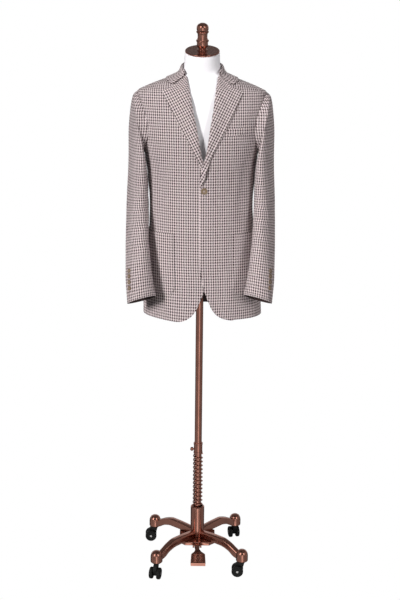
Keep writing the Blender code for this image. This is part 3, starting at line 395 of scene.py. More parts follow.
# the coat's outer form, with the same sizes as the solids
coatForm = {
    "columns": ("height", "halfWidth", "frontDepth", "backDepth", "squareness", "sideways"),
    "rows": (
        (0.9050, 0.1985, 0.1300, 0.1280, 2.30, 0.009), (1.0000, 0.1960, 0.1300, 0.1300, 2.30, 0.006),
        (1.1000, 0.1850, 0.1280, 0.1220, 2.28, 0.003), (1.2000, 0.1740, 0.1260, 0.1100, 2.25, 0.003),
        (1.2800, 0.1705, 0.1270, 0.1080, 2.25, 0.002), (1.3400, 0.1725, 0.1300, 0.1110, 2.25, 0.002),
        (1.3900, 0.1765, 0.1340, 0.1160, 2.25, 0.001), (1.4400, 0.1840, 0.1370, 0.1220, 2.28, 0.000),
        (1.5000, 0.1980, 0.1340, 0.1270, 2.32, 0.000), (1.5500, 0.2065, 0.1240, 0.1250, 2.35, 0.000),
        (1.6000, 0.2115, 0.1070, 0.1140, 2.40, 0.000), (1.6375, 0.2085, 0.0880, 0.0980, 2.40, 0.000),
        (1.6550, 0.1775, 0.0775, 0.0880, 2.38, 0.000), (1.6690, 0.1430, 0.0700, 0.0790, 2.32, 0.000),
        (1.6820, 0.1090, 0.0645, 0.0715, 2.25, 0.000), (1.6940, 0.0815, 0.0600, 0.0650, 2.20, 0.000),
        (1.6985, 0.0715, 0.0585, 0.0625, 2.15, 0.000),
    ),
    "hem": 0.905, "neckSeam": 1.6985, "cloth": 0.0022, "lie": 0.0007, "seamGap": 0.0003,
    "seamSink": 0.0011, "seamReach": 0.0065, "allowance": 0.0050, "reach": 0.0004, "thinFrom": (1.59, 0.03),
    "frontGrain": 0.7, "lapelGrain": 0.5, "backGrain": 2.4,
}
bodyCurves = curvesOf(coatForm)
cloth, lie, halfGap = coatForm["cloth"], coatForm["lie"], coatForm["seamGap"] / 2
words = {1: "left", -1: "right"}

# soft drags of the body: turn in degrees from the middle of the front, plus to the wearer's left
# a row goes from one turn and height to another, then width and depth
bodyCreases = {
    "rows": (
        (-56, 1.46, -45, 1.20, 0.015, -0.0028), (-66, 1.42, -62, 1.10, 0.012, 0.0018),
        (-38, 1.43, -32, 1.27, 0.012, -0.0012), (52, 1.46, 43, 1.22, 0.016, -0.0026),
        (63, 1.40, 58, 1.06, 0.013, 0.0018), (36, 1.42, 30, 1.29, 0.012, -0.0012),
        (7, 1.338, 34, 1.302, 0.008, -0.0012), (-1, 1.336, -30, 1.306, 0.008, -0.0012),
        (7, 1.324, 27, 1.255, 0.009, -0.0010), (-2, 1.322, -24, 1.262, 0.009, -0.0009),
        (-24, 1.20, -30, 0.95, 0.018, -0.0016), (27, 1.19, 33, 0.96, 0.018, -0.0016),
        (92, 1.40, 84, 1.08, 0.016, -0.0026), (104, 1.33, 99, 0.96, 0.015, 0.0018),
        (-90, 1.41, -82, 1.10, 0.017, -0.0026), (-103, 1.30, -98, 0.95, 0.014, 0.0016),
        (128, 1.50, 137, 1.24, 0.017, -0.0030), (150, 1.37, 146, 1.02, 0.018, -0.0022),
        (171, 1.28, 167, 0.94, 0.015, 0.0018), (-126, 1.49, -136, 1.22, 0.016, -0.0030),
        (-152, 1.36, -149, 1.00, 0.018, -0.0020), (-168, 1.30, -164, 0.96, 0.016, 0.0016),
        (163, 1.655, 150, 1.60, 0.012, -0.0012), (-165, 1.652, -152, 1.598, 0.012, -0.0012),
        (81, 1.475, 79, 1.300, 0.014, 0.0021), (-81, 1.475, -79, 1.310, 0.014, 0.0026),
        (-80, 1.400, -78, 1.160, 0.016, 0.0024),
    ),
    "metresPerTurn": 0.16, "taper": 0.30,
}


def creaseLift(table, across, up):
    lift = np.zeros(np.broadcast(across, up).shape)
    for x0, z0, x1, z1, width, depth in table:
        run = np.array((x1 - x0, z1 - z0))
        length = np.linalg.norm(run)
        run = run / length
        along = ((across - x0) * run[0] + (up - z0) * run[1]) / length
        off = (across - x0) * run[1] - (up - z0) * run[0]
        ends = ease(along / bodyCreases["taper"]) * ease((1 - along) / bodyCreases["taper"])
        lift = lift + depth * np.exp(-((off / width) ** 2)) * ends
    return lift


def laidFlat(rows, metresPerTurn, level=float):
    flat = []
    for turn, place, toTurn, toPlace, *size in rows:
        start, end = (math.radians(degrees) * metresPerTurn for degrees in (turn, toTurn))
        flat.append((start, level(place), end, level(toPlace), *size))
    return flat


bodyCreaseRows = laidFlat(bodyCreases["rows"], bodyCreases["metresPerTurn"])


def bodyFace(turn, height):
    power = 2 / bodyCurves["squareness"](height)
    depth = np.where(np.cos(turn) > 0, bodyCurves["frontDepth"](height), bodyCurves["backDepth"](height))
    across = bodyCurves["halfWidth"](height) * signedPower(np.sin(turn), power)
    deep = -depth * signedPower(np.cos(turn), power)
    return np.stack((bodyCurves["sideways"](height) + across, deep, height + 0 * turn), -1)


def bodyNormal(turn, height):
    step, rise = 0.004, 0.0015
    top = np.minimum(height + rise, coatForm["neckSeam"])
    low = np.maximum(height - rise, coatForm["hem"])
    along = bodyFace(turn + step, height) - bodyFace(turn - step, height)
    return unit(np.cross(along, bodyFace(turn, top) - bodyFace(turn, low)))


def bodyPoint(turn, height, lift=0.0):
    drag = creaseLift(bodyCreaseRows, turn * bodyCreases["metresPerTurn"], height)
    lift = (lift + drag)[..., None]
    return bodyFace(turn, height) + lift * bodyNormal(turn, height)


def turnAt(across, height):
    reach = (across - bodyCurves["sideways"](height)) / bodyCurves["halfWidth"](height)
    share = np.minimum(np.abs(reach), 1.0) ** (bodyCurves["squareness"](height) / 2)
    return np.copysign(np.arcsin(share), reach)


def turnForLength(turn, height, length):
    half = 0.002
    step = bodyFace(turn + half, height) - bodyFace(turn - half, height)
    return length * (2 * half) / np.linalg.norm(step, axis=-1)


# lengths over the form, so that the check keeps its size: round each row, and up the front or back
roundTurns = np.linspace(-math.pi - 0.2, math.pi + 0.2, 1441)


def grainAcross(turns, heights, fromTurns):
    lengths = np.zeros(turns.shape)
    for i, height in enumerate(heights[:, 0]):
        run = runLength(bodyFace(roundTurns, np.full(roundTurns.shape, height)))
        lengths[i] = np.interp(turns[i], roundTurns, run) - np.interp(fromTurns[i], roundTurns, run)
    return lengths


def grainUp(heights, turn):
    tall = np.linspace(coatForm["hem"], coatForm["neckSeam"], 600)
    return np.interp(heights, tall, runLength(bodyFace(np.full(tall.shape, turn), tall)))


# one cloth wall from a grid of points and its place in the cut
def cutArea(grain):
    a, b, c, d = grain[:-1, :-1], grain[:-1, 1:], grain[1:, 1:], grain[1:, :-1]
    first, second = c - a, d - b
    return float(np.abs(first[..., 0] * second[..., 1] - first[..., 1] * second[..., 0]).sum() / 2)


def gridObject(name, points, grain, outward):
    rows, columns = points.shape[:2]
    at = np.arange(rows * columns).reshape(rows, columns)
    quads = np.stack((at[:-1, :-1], at[:-1, 1:], at[1:, 1:], at[1:, :-1]), -1).reshape(-1, 4)
    facing = np.cross(points[:-1, 1:] - points[:-1, :-1], points[1:, :-1] - points[:-1, :-1])
    if (facing * outward[:-1, :-1]).sum() < 0:
        quads = quads[:, ::-1]
    mesh = bpy.data.meshes.new(name)
    mesh.from_pydata(points.reshape(-1, 3).tolist(), [], quads.tolist())
    layer = mesh.uv_layers.new(name="grain")
    layer.data.foreach_set("uv", grain.reshape(-1, 2)[quads.reshape(-1)].reshape(-1))
    mesh.shade_smooth()
    obj = bpy.data.objects.new(name, mesh)
    scene.collection.objects.link(obj)
    return obj


def paired(name, side):
    return name + words[side].capitalize(), name + "_" + words[side]


def clothPiece(name, node, points, grain, outward, held="hung", restsOn=("form",), lined=True):
    obj = gridObject(name, points, grain, outward)
    obj.data.materials.append(finishes["woolCheck"])
    obj.data.materials.append(finishes["paintedShadeInside"])
    wall = obj.modifiers.new("wall", "SOLIDIFY")
    wall.thickness = cloth
    wall.offset = -1.0
    # lined pieces show the near-black inside twill on their inner face: painted shade for the insides of
    # cuffs and hem
    wall.material_offset = 1 if lined else 0
    wall.material_offset_rim = 0
    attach(obj, "torso")
    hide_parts(node)
    cutArea(grain)
    return obj


def seamSink(points, first=True, last=True):
    run = runLength(points)
    sink = np.zeros(run.shape)
    if first:
        sink = sink + 1 - ease(run / coatForm["seamReach"])
    if last:
        sink = sink + 1 - ease((run[:, -1:] - run) / coatForm["seamReach"])
    return -coatForm["seamSink"] * sink


# seam allowances turned in, so that nothing shows through a seam
def turnedIn(points, grain, normals, rows=(0, 0), columns=(0, 0)):
    points, grain, normals = (
        np.pad(grid, (rows, columns, (0, 0)), mode="edge") for grid in (points, grain, normals)
    )
    inward = np.ones(points.shape[:2])
    inward[rows[0] : len(inward) - rows[1], columns[0] : inward.shape[1] - columns[1]] = 0.0
    thin = fade(points[..., 2], *coatForm["thinFrom"])
    deep = inward * lerp(coatForm["allowance"], cloth, thin)
    beyond = np.zeros(points.shape)
    for axis, (first, last) in enumerate((rows, columns)):
        line, out = np.moveaxis(points, axis, 0), np.moveaxis(beyond, axis, 0)
        if first:
            out[0] += unit(line[1] - line[2])
        if last:
            out[-1] += unit(line[-2] - line[-3])
    return points - deep[..., None] * normals + coatForm["reach"] * beyond, grain, normals


# where the fronts end: middle line, edges and armholes
frontCut = {
    "columns": ("height", "across"),
    "rows": (
        (0.905, 0.0120), (1.000, 0.0145), (1.100, 0.0115), (1.330, 0.0090),
        (1.450, 0.0080), (1.550, 0.0060), (1.660, 0.0020), (1.700, 0.0010),
    ),
    "cornerRise": 0.030, "cornerRows": 17, "rowSteps": (104, 36, 16), "acrossSteps": 56, "lapWide": 0.022,
    "lapEase": 0.035, "lapEnd": (1.42, 0.06), "foldRecess": 0.002, "recessFrom": (1.36, 0.05),
    "underDrop": 0.009, "dropFrom": (0.05, 0.13), "dropTall": 0.10, "bead": 0.0022, "beadWide": 0.0045,
    # the under front's check is moved so its light stripe meets the over front's edge: the check's own
    # colours, placed as a painted highlight
    "beadEase": 0.016, "beadEnd": (1.30, 0.03), "edgeHighlightShift": {1: 0.0, -1: 0.0035}, "stitchInset": 0.006,
    "stitchFrom": 0.935, "stitchTo": {1: 1.355, -1: 0.99},
}
edgeCut = {
    "columns": ("height", "spread"),
    "rows": (
        (0.9050, 0.088), (0.9065, 0.076), (0.9100, 0.064), (0.9170, 0.050), (0.9290, 0.036),
        (0.9470, 0.0235), (0.9720, 0.012), (1.0050, 0.000), (1.0500, -0.009), (1.1050, -0.0125),
        (1.3300, -0.013), (1.3600, -0.0105), (1.3850, -0.0065), (1.4050, -0.0025), (1.4300, 0.0045),
        (1.4600, 0.0120), (1.5000, 0.0185), (1.5400, 0.025), (1.5800, 0.033), (1.6200, 0.0395),
        (1.6600, 0.0465), (1.6940, 0.0525),
    ),
}
armCut = {"top": 1.6375, "bottom": 1.4400, "frontTurn": 35.0, "backTurn": 31.0, "sideSeam": 144.0}
middleAt = curvesOf(frontCut)["across"]
edgeAt = curvesOf(edgeCut)["spread"]
armMiddle = (armCut["top"] + armCut["bottom"]) / 2
armHalf = (armCut["top"] - armCut["bottom"]) / 2


def armHeight(degrees):
    return armMiddle + armHalf * np.cos(np.radians(degrees))


armStart = float(armHeight(armCut["sideSeam"]))


def armTurn(degrees):
    swing = np.sin(np.radians(degrees))
    reach = np.where(swing > 0, armCut["frontTurn"], armCut["backTurn"])
    return np.pi / 2 - swing * np.radians(reach)


def outerTurn(heights, front):
    sign = 1.0 if front else -1.0
    swing = np.degrees(np.arccos(np.clip((heights - armMiddle) / armHalf, -1.0, 1.0)))
    return armTurn(sign * np.minimum(swing, armCut["sideSeam"]))


def lapLift(across, height):
    near = 1 - ease((across - middleAt(height) - frontCut["lapWide"]) / frontCut["lapEase"])
    return (cloth + lie) * near * (1 - fade(height, *frontCut["lapEnd"]))


def underDrop(across, height):
    near = 1 - fade(np.abs(across), *frontCut["dropFrom"])
    return frontCut["underDrop"] * near * (1 - fade(height, coatForm["hem"], frontCut["dropTall"]))


# running stitches along the edges: paths now, stitches when the coat is whole
edgeStitch = {"pitch": 0.0058, "long": 0.0030, "thick": 0.00055, "proud": 0.0001, "leastWide": 2.5}
stitchPaths = []


def sewAlong(points, normals, inset, last):
    line = points[:, ::-1] if last else points
    out = normals[:, ::-1] if last else normals
    path = []
    for row, lifts, run in zip(line, out, runLength(line)):
        if run[-1] < edgeStitch["leastWide"] * inset:
            continue
        place = [np.interp(inset, run, row[:, k]) for k in range(3)]
        lift = [np.interp(inset, run, lifts[:, k]) for k in range(3)]
        path.append(np.array(place) + edgeStitch["proud"] * np.array(lift))
    stitchPaths.append(np.array(path))


# turns of each row from its first to its last place, and the heights beside them
def rowTurns(starts, ends, heights, shares):
    turns = starts[:, None] + (ends - starts)[:, None] * shares
    return turns, heights[:, None] + 0 * turns


def checkOn(turns, tall, fromTurns, upTurn, shift=0.0):
    return np.stack((grainAcross(turns, tall, fromTurns) + shift, grainUp(tall, upTurn)), -1)


def frontPiece(side):
    low = coatForm["hem"] + frontCut["cornerRise"] * np.linspace(0.0, 1.0, frontCut["cornerRows"]) ** 2
    rows = spaced((low[-1], armStart, armCut["top"], coatForm["neckSeam"]), frontCut["rowSteps"])
    heights = np.concatenate((low[:-1], rows))
    middle = middleAt(heights)
    starts = turnAt(middle + side * edgeAt(heights), heights)
    recess = frontCut["foldRecess"] * fade(heights, *frontCut["recessFrom"])
    starts = starts + side * turnForLength(starts, heights, recess)
    ends = side * outerTurn(heights, True)
    ends = ends - side * turnForLength(ends, heights, halfGap)
    turns, tall = rowTurns(starts, ends, heights, edgeShares(frontCut["acrossSteps"]))
    flat = bodyFace(turns, tall)
    lift = seamSink(flat, first=False)
    if side > 0:
        run = runLength(flat)
        bead = ease(run / frontCut["beadWide"]) * (1 - ease(run / frontCut["beadEase"]))
        bead = frontCut["bead"] * bead * (1 - fade(tall, *frontCut["beadEnd"]))
        lift = lift + lapLift(flat[..., 0], tall) + bead
    points = bodyPoint(turns, tall, lift)
    if side < 0:
        points[..., 2] -= underDrop(flat[..., 0], tall)
    # the under front's check is moved so its light stripe meets the over front's edge: the check's own
    # colour, placed as a painted highlight along the lap
    shift = frontCut["edgeHighlightShift"][side]
    grain = checkOn(turns, tall, turnAt(middle, heights), side * coatForm["frontGrain"], shift)
    normals = bodyNormal(turns, tall)
    clothPiece(*paired("front", side), *turnedIn(points, grain, normals, columns=(0, 1)))
    seen = (heights > frontCut["stitchFrom"]) & (heights < frontCut["stitchTo"][side])
    sewAlong(points[seen], normals[seen], frontCut["stitchInset"], False)


# side panels and backs
sideCut = {"acrossSteps": 34, "rows": 112}
backCut = {"acrossSteps": 48, "rowSteps": (96, 36, 16), "seamStep": 0.01}


def sidePiece(side):
    degrees = armCut["sideSeam"] + (360 - 2 * armCut["sideSeam"]) * edgeShares(sideCut["acrossSteps"])
    shares = np.linspace(0.0, 1.0, sideCut["rows"])[:, None]
    tall = coatForm["hem"] + (armHeight(degrees) - coatForm["hem"]) * shares
    turns = side * armTurn(degrees) + 0 * tall
    gap = turnForLength(turns, tall, halfGap)
    turns[:, 0] += side * gap[:, 0]
    turns[:, -1] -= side * gap[:, -1]
    points = bodyPoint(turns, tall, seamSink(bodyFace(turns, tall)))
    middle = np.full(len(turns), side * math.pi / 2)
    grain = checkOn(turns, tall, middle, side * coatForm["frontGrain"])
    sewn = turnedIn(points, grain, bodyNormal(turns, tall), rows=(0, 1), columns=(1, 1))
    clothPiece(*paired("side", side), *sewn)


def backPiece(side):
    heights = spaced((coatForm["hem"], armStart, armCut["top"], coatForm["neckSeam"]), backCut["rowSteps"])
    starts = side * outerTurn(heights, False)
    starts = starts + side * turnForLength(starts, heights, halfGap)
    middle = np.full(heights.shape, side * math.pi)
    ends = middle - side * turnForLength(middle - side * backCut["seamStep"], heights, halfGap)
    turns, tall = rowTurns(starts, ends, heights, edgeShares(backCut["acrossSteps"]))
    points = bodyPoint(turns, tall, seamSink(bodyFace(turns, tall)))
    grain = checkOn(turns, tall, middle, side * coatForm["backGrain"])
    sewn = turnedIn(points, grain, bodyNormal(turns, tall), columns=(1, 1))
    clothPiece(*paired("back", side), *sewn)


# lapels turned back on the fronts, with a soft fold along the roll line
lapelCut = {
    "columns": ("height", "spread"),
    "rows": (
        (1.344, -0.0060), (1.385, 0.0060), (1.426, 0.0180), (1.474, 0.0430), (1.543, 0.0810),
        (1.596, 0.1065), (1.640, 0.1280), (1.657, 0.0935), (1.686, 0.0540),
    ),
    "start": {1: 1.344, -1: 1.406}, "stops": (1.640, 1.657, 1.686), "rowSteps": (92, 9, 14),
    "acrossSteps": 34, "even": 0.6, "crowd": 1.15, "foldRadius": 0.0024, "foldSteps": 5, "foldTurn": 130.0,
    "foldEase": 0.03, "roll": 0.0035, "rollFrom": (1.36, 0.10), "rollTo": (1.694, 0.04), "rollPeak": 0.12,
    "rollEase": 0.6, "lip": 0.0006, "lipFrom": (0.6, 0.3), "lipTo": (0.93, 0.07), "standOff": 0.0055,
    "standFrom": {1: 1.346, -1: 1.404}, "standTall": 0.100, "standPeak": 0.3, "standEase": 0.7,
    "grainTurn": 27.5, "stitchInset": 0.005, "stitchFrom": 0.05, "stitchTo": 1.637,
}


def lapelLift(heights, shares, side):
    rollTop, rollOver = lapelCut["rollTo"]
    roll = lapelCut["roll"] * fade(heights, *lapelCut["rollFrom"]) * ease((rollTop - heights) / rollOver)
    peak = lapelCut["rollPeak"]
    lift = np.full((len(heights), len(shares)), lie + cloth)
    lift += roll[:, None] * ease(shares / peak) * (1 - fade(shares, peak, lapelCut["rollEase"]))
    lift += lapelCut["lip"] * fade(shares, *lapelCut["lipFrom"]) * (1 - fade(shares, *lapelCut["lipTo"]))
    place = (heights - lapelCut["standFrom"][side]) / lapelCut["standTall"]
    peak, over = lapelCut["standPeak"], lapelCut["standEase"]
    stand = lapelCut["standOff"] * ease(place / peak) * (1 - fade(place, peak, over))
    return lift + stand[:, None] * ease(shares / over)


def lapelPiece(side):
    lowest = lapelCut["start"][side]
    heights = spaced((lowest, *lapelCut["stops"]), lapelCut["rowSteps"])
    middle = middleAt(heights)
    starts = turnAt(middle + side * edgeAt(heights), heights)
    spread = np.interp(heights, columnOf(lapelCut, "height"), columnOf(lapelCut, "spread"))
    ends = turnAt(middle + side * spread, heights)
    shares = edgeShares(lapelCut["acrossSteps"], lapelCut["even"]) ** lapelCut["crowd"]
    turns, tall = rowTurns(starts, ends, heights, shares)
    lift = lapelLift(heights, shares, side)
    if side > 0:
        lift += lapLift(bodyFace(turns, tall)[..., 0], tall)
    # columns that carry the fold round the front's edge
    angles = np.linspace(np.radians(lapelCut["foldTurn"]), 0.0, lapelCut["foldSteps"], endpoint=False)
    radius = lapelCut["foldRadius"] * ease((heights - heights[0]) / lapelCut["foldEase"])[:, None]
    perMetre = turnForLength(starts, heights, 1.0)[:, None]
    foldTurns = starts[:, None] - side * perMetre * radius * np.sin(angles)
    turns = np.concatenate((foldTurns, turns), axis=1)
    lift = np.concatenate((lift[:, :1] - radius * (1 - np.cos(angles)), lift), axis=1)
    tall = heights[:, None] + 0 * turns
    points = bodyPoint(turns, tall, lift)
    level = checkOn(turns, tall, turnAt(middle, heights), side * coatForm["lapelGrain"])
    lean = math.radians(lapelCut["grainTurn"]) * side
    across, up = level[..., 0], level[..., 1]
    rightward = across * math.cos(lean) - up * math.sin(lean)
    grain = np.stack((rightward, across * math.sin(lean) + up * math.cos(lean)), -1)
    normals = bodyNormal(turns, tall)
    clothPiece(*paired("lapel", side), points, grain, normals, "folded", lined=False)
    seen = (heights > lowest + lapelCut["stitchFrom"]) & (heights < lapelCut["stitchTo"])
    sewAlong(points[seen], normals[seen], lapelCut["stitchInset"], True)


# collar: stand inside, fold, and a leaf lying on the shoulders
collarCut = {
    "columns": ("place", "foldX", "foldY", "foldZ", "seamTurn", "edgeTurn", "edgeZ"),
    "rows": (
        (0.0, 0.0552, -0.0535, 1.6995, 46.0, 50.0, 1.6705),
        (1.0, 0.0610, -0.0370, 1.7090, 58.0, 68.0, 1.6770),
        (2.0, 0.0648, -0.0130, 1.7165, 80.0, 86.0, 1.6800),
        (3.0, 0.0655, 0.0120, 1.7210, 101.0, 104.0, 1.6785),
        (4.0, 0.0605, 0.0355, 1.7255, 120.0, 122.0, 1.6755),
        (5.0, 0.0450, 0.0540, 1.7300, 140.0, 141.0, 1.6730),
        (6.0, 0.0220, 0.0635, 1.7325, 160.0, 160.0, 1.6715),
        (7.0, 0.0000, 0.0665, 1.7330, 180.0, 180.0, 1.6710),
    ),
    "leafSteps": 8, "fold": 0.0029, "foldDrop": 0.8, "sag": 0.016, "sagLean": 0.8, "stations": 46,
    "even": 0.7, "pointsAcross": 40, "leafFrom": 16, "grainRow": -8, "seamRise": 0.0008, "clear": 0.0004,
    "leafClear": 0.0003, "stitchInset": 0.005,
}
collarCurves = curvesOf(collarCut)
gorge = {
    "columns": ("share", "spread", "height"),
    "rows": ((0.0, 0.0540, 1.6935), (0.15, 0.0560, 1.6885), (0.70, 0.0950, 1.6590), (1.0, 0.1100, 1.6715)),
}


def pushedOut(points, lift):
    height = np.clip(points[..., 2], coatForm["hem"], coatForm["neckSeam"])
    front = points[..., 1] < 0
    depth = np.where(front, bodyCurves["frontDepth"](height), bodyCurves["backDepth"](height))
    power = bodyCurves["squareness"](height) / 2
    across = np.abs(points[..., 0] - bodyCurves["sideways"](height)) / bodyCurves["halfWidth"](height)
    turn = np.arctan2(across**power, (np.abs(points[..., 1]) / depth) ** power)
    turn = np.copysign(np.where(front, turn, np.pi - turn), points[..., 0])
    normal = bodyNormal(turn, height)
    off = ((points - bodyFace(turn, height)) * normal).sum(-1)
    return points + normal * np.maximum(lift - off, 0.0)[..., None]


def collarSection(place, side):
    value = {name: float(curve(place)) for name, curve in collarCurves.items()}
    fold = np.array((side * value["foldX"], value["foldY"], value["foldZ"]))
    seamTurn, edgeTurn = (np.array(side * math.radians(value[name])) for name in ("seamTurn", "edgeTurn"))
    seam = bodyFace(seamTurn, np.array(coatForm["neckSeam"])) + np.array((0, 0, collarCut["seamRise"]))
    edge = bodyPoint(edgeTurn, np.array(value["edgeZ"]), cloth + lie)
    outward = unit((edge - seam) * np.array((1, 1, 0)))
    drop = np.array((0, 0, collarCut["foldDrop"] * collarCut["fold"]))
    inside = fold - collarCut["fold"] * outward - drop
    outside = fold + collarCut["fold"] * outward - drop
    section = [seam, lerp(seam, inside, 0.5), inside, fold]
    lift = cloth + lie + collarCut["clear"]
    atFront = 1 - float(ease(np.array(place)))
    for k in range(collarCut["leafSteps"] + 1):
        share = k / collarCut["leafSteps"]
        sag = collarCut["sag"] * math.sin(math.pi * share ** collarCut["sagLean"])
        plain = lerp(outside, edge, share) - np.array((0, 0, sag))
        height = np.array(np.interp(share, columnOf(gorge, "share"), columnOf(gorge, "height")))
        spread = np.interp(share, columnOf(gorge, "share"), columnOf(gorge, "spread"))
        cut = bodyPoint(turnAt(middleAt(height) + side * spread, height), height, np.array(lift))
        section.append(pushedOut(lerp(plain, cut, atFront) if k else outside, lift))
    return np.array(section)


def smoothLine(points, count):
    run = runLength(points)
    places = run[-1] * np.linspace(0.0, 1.0, count)
    return np.stack([curveThrough(run, points[:, k])(places) for k in range(3)], -1)


def collarPiece():
    stations = edgeShares(collarCut["stations"], collarCut["even"]) * collarCut["rows"][-1][0]
    sections = [collarSection(place, -1) for place in stations[:-1]]
    sections += [collarSection(place, 1) for place in stations[::-1]]
    points = np.array([smoothLine(section, collarCut["pointsAcross"]) for section in sections])
    leaf = points[:, collarCut["leafFrom"] :]
    points[:, collarCut["leafFrom"] :] = pushedOut(leaf, cloth + lie + collarCut["leafClear"])
    across = runLength(points[:, collarCut["grainRow"]])
    across = (across - across[-1] / 2)[:, None] + np.zeros(points.shape[:2])
    grain = np.stack((across, -runLength(points)), -1)
    along = np.pad(points, ((1, 1), (0, 0), (0, 0)), mode="edge")
    down = np.pad(points, ((0, 0), (1, 1), (0, 0)), mode="edge")
    normals = unit(np.cross(along[2:] - along[:-2], down[:, 2:] - down[:, :-2]))
    clothPiece("turnedCollar", "collar", points, grain, normals, "folded", lined=False)
    sewAlong(points, normals, collarCut["stitchInset"], True)


# patch pockets and the breast welt lie on the panels
patchPocket = {
    "inner": 0.095, "outerTurn": 97.0, "round": 0.030, "low": 0.988, "high": 1.190, "gap": 0.0009,
    "puff": 0.0012, "puffFrom": 0.05, "sewn": 0.0005, "cornerRows": 13, "cornerCrowd": 1.8, "rows": 50,
    "acrossSteps": 48, "stitchInset": 0.004, "sideStitchFrom": 10, "topStitchRow": -8,
}
breastWelt = {
    "from": (0.0815, 1.5040), "to": (0.1525, 1.5130), "tall": 0.022, "acrossSteps": 30, "upSteps": 12,
    "sewn": 0.0005, "puff": 0.0009, "stitchInset": 0.003,
}


def pocketPiece(side):
    low, radius, sewn = (patchPocket[name] for name in ("low", "round", "sewn"))
    corner = low + radius * np.linspace(0.0, 1.0, patchPocket["cornerRows"]) ** patchPocket["cornerCrowd"]
    heights = np.concatenate((corner[:-1], np.linspace(corner[-1], patchPocket["high"], patchPocket["rows"])))
    short = np.clip(radius - heights + low, 0.0, radius)
    inset = radius - np.sqrt(radius**2 - short**2)
    middle = middleAt(heights)
    starts = turnAt(middle + side * patchPocket["inner"], heights)
    ends = np.full(heights.shape, side * math.radians(patchPocket["outerTurn"]))
    starts = starts + side * turnForLength(starts, heights, inset)
    ends = ends - side * turnForLength(ends, heights, inset)
    shares = edgeShares(patchPocket["acrossSteps"])
    turns, tall = rowTurns(starts, ends, heights, shares)
    full = np.sin(np.pi * shares) ** 0.5 * fade(heights, low, patchPocket["puffFrom"])[:, None]
    points = bodyPoint(turns, tall, sewn + cloth + (patchPocket["gap"] + patchPocket["puff"] - sewn) * full)
    # the pocket follows its front's shifted check, which was moved to place a painted highlight along the
    # front edge
    shift = frontCut["edgeHighlightShift"][side]
    grain = checkOn(turns, tall, turnAt(middle, heights), side * coatForm["frontGrain"], shift)
    normals = bodyNormal(turns, tall)
    clothPiece(*paired("pocket", side), points, grain, normals, "laid", ("front_" + words[side],))
    first, row = patchPocket["sideStitchFrom"], patchPocket["topStitchRow"]
    for last in (False, True):
        sewAlong(points[first:], normals[first:], patchPocket["stitchInset"], last)
    stitchPaths.append(points[row] + edgeStitch["proud"] * normals[row])


def weltPiece():
    shares, rises = edgeShares(breastWelt["acrossSteps"]), edgeShares(breastWelt["upSteps"])[:, None]
    across, tall = (lerp(a, b, shares) + 0 * rises for a, b in zip(breastWelt["from"], breastWelt["to"]))
    tall = tall + rises * breastWelt["tall"]
    turns = turnAt(across, tall)
    full = np.sin(np.pi * shares) * np.sin(np.pi * rises)
    points = bodyPoint(turns, tall, cloth + breastWelt["sewn"] + breastWelt["puff"] * full**0.5)
    grain = np.stack((across, grainUp(tall, coatForm["frontGrain"])), -1)
    normals = bodyNormal(turns, tall)
    clothPiece("pocketBreast", "pocket_breast", points, grain, normals, "laid", ("front_left",))
    for last in (False, True):
        sewAlong(points, normals, breastWelt["stitchInset"], last)


for side in words:
    frontPiece(side)
    sidePiece(side)
    backPiece(side)
    lapelPiece(side)
    pocketPiece(side)
weltPiece()
collarPiece()
print("coat body, lapels, collar and pockets made")

# sleeves: turn 0 is the outside, 90 the front, 180 the underarm
sleeveCut = {
    "columns": ("across", "deep", "height", "halfWidth", "halfDepth", "fan", "yaw", "pitch"),
    "rows": (
        (0.20600, -0.004, 1.5310, 0.0983, 0.0800, 81.0, 4.0, 0.0),
        (0.20800, -0.005, 1.5155, 0.0902, 0.0830, 77.4, 7.0, 0.0),
        (0.20885, -0.006, 1.4925, 0.0764, 0.0845, 72.8, 10.0, 0.0),
        (0.20930, -0.007, 1.4615, 0.0590, 0.0850, 65.0, 12.0, 0.0),
        (0.20790, -0.008, 1.4215, 0.0432, 0.0845, 52.5, 13.0, 0.0),
        (0.20770, -0.009, 1.3760, 0.0311, 0.0835, 27.7, 13.5, 0.0),
        (0.20850, -0.011, 1.3300, 0.0305, 0.0810, 8.0, 13.5, 2.0),
        (0.20950, -0.017, 1.2800, 0.0318, 0.0780, 0.0, 13.0, 5.0),
        (0.20860, -0.038, 1.2200, 0.0332, 0.0720, 0.0, 15.0, 11.0),
        (0.20650, -0.069, 1.1500, 0.0342, 0.0650, 0.0, 20.0, 15.0),
        (0.20220, -0.096, 1.0900, 0.0378, 0.0580, -2.0, 23.0, 16.0),
        (0.19820, -0.117, 1.0400, 0.0418, 0.0515, -4.0, 25.0, 16.0),
        (0.18880, -0.135, 0.9740, 0.0475, 0.0430, -7.0, 25.0, 23.5),
    ),
    "squareness": 2.15, "hindSeam": (-54.0, 8.0), "foreSeam": (126.0, 140.0), "rowsEach": 12,
    "acrossSteps": 56, "metresPerTurn": 0.058, "tubeFrom": (5.2, 1.8), "crownShare": 0.3, "slices": 300,
    "rollSteps": 30, "rollWeight": 0.25, "rollFrom": 0.8, "rollTo": (6.5, 1.5), "rollEdge": 3.0,
    "panelUntil": 0.5, "cuffRaise": {1: 0.006, -1: 0.0}, "raiseFrom": (9.0, 4.0), "elbowRing": 6,
    "ringsFrom": (6.0, 2.0), "capSink": 0.0008, "capSinkOver": 0.35, "capGap": 0.0002, "armholeLevel": 1.60,
}
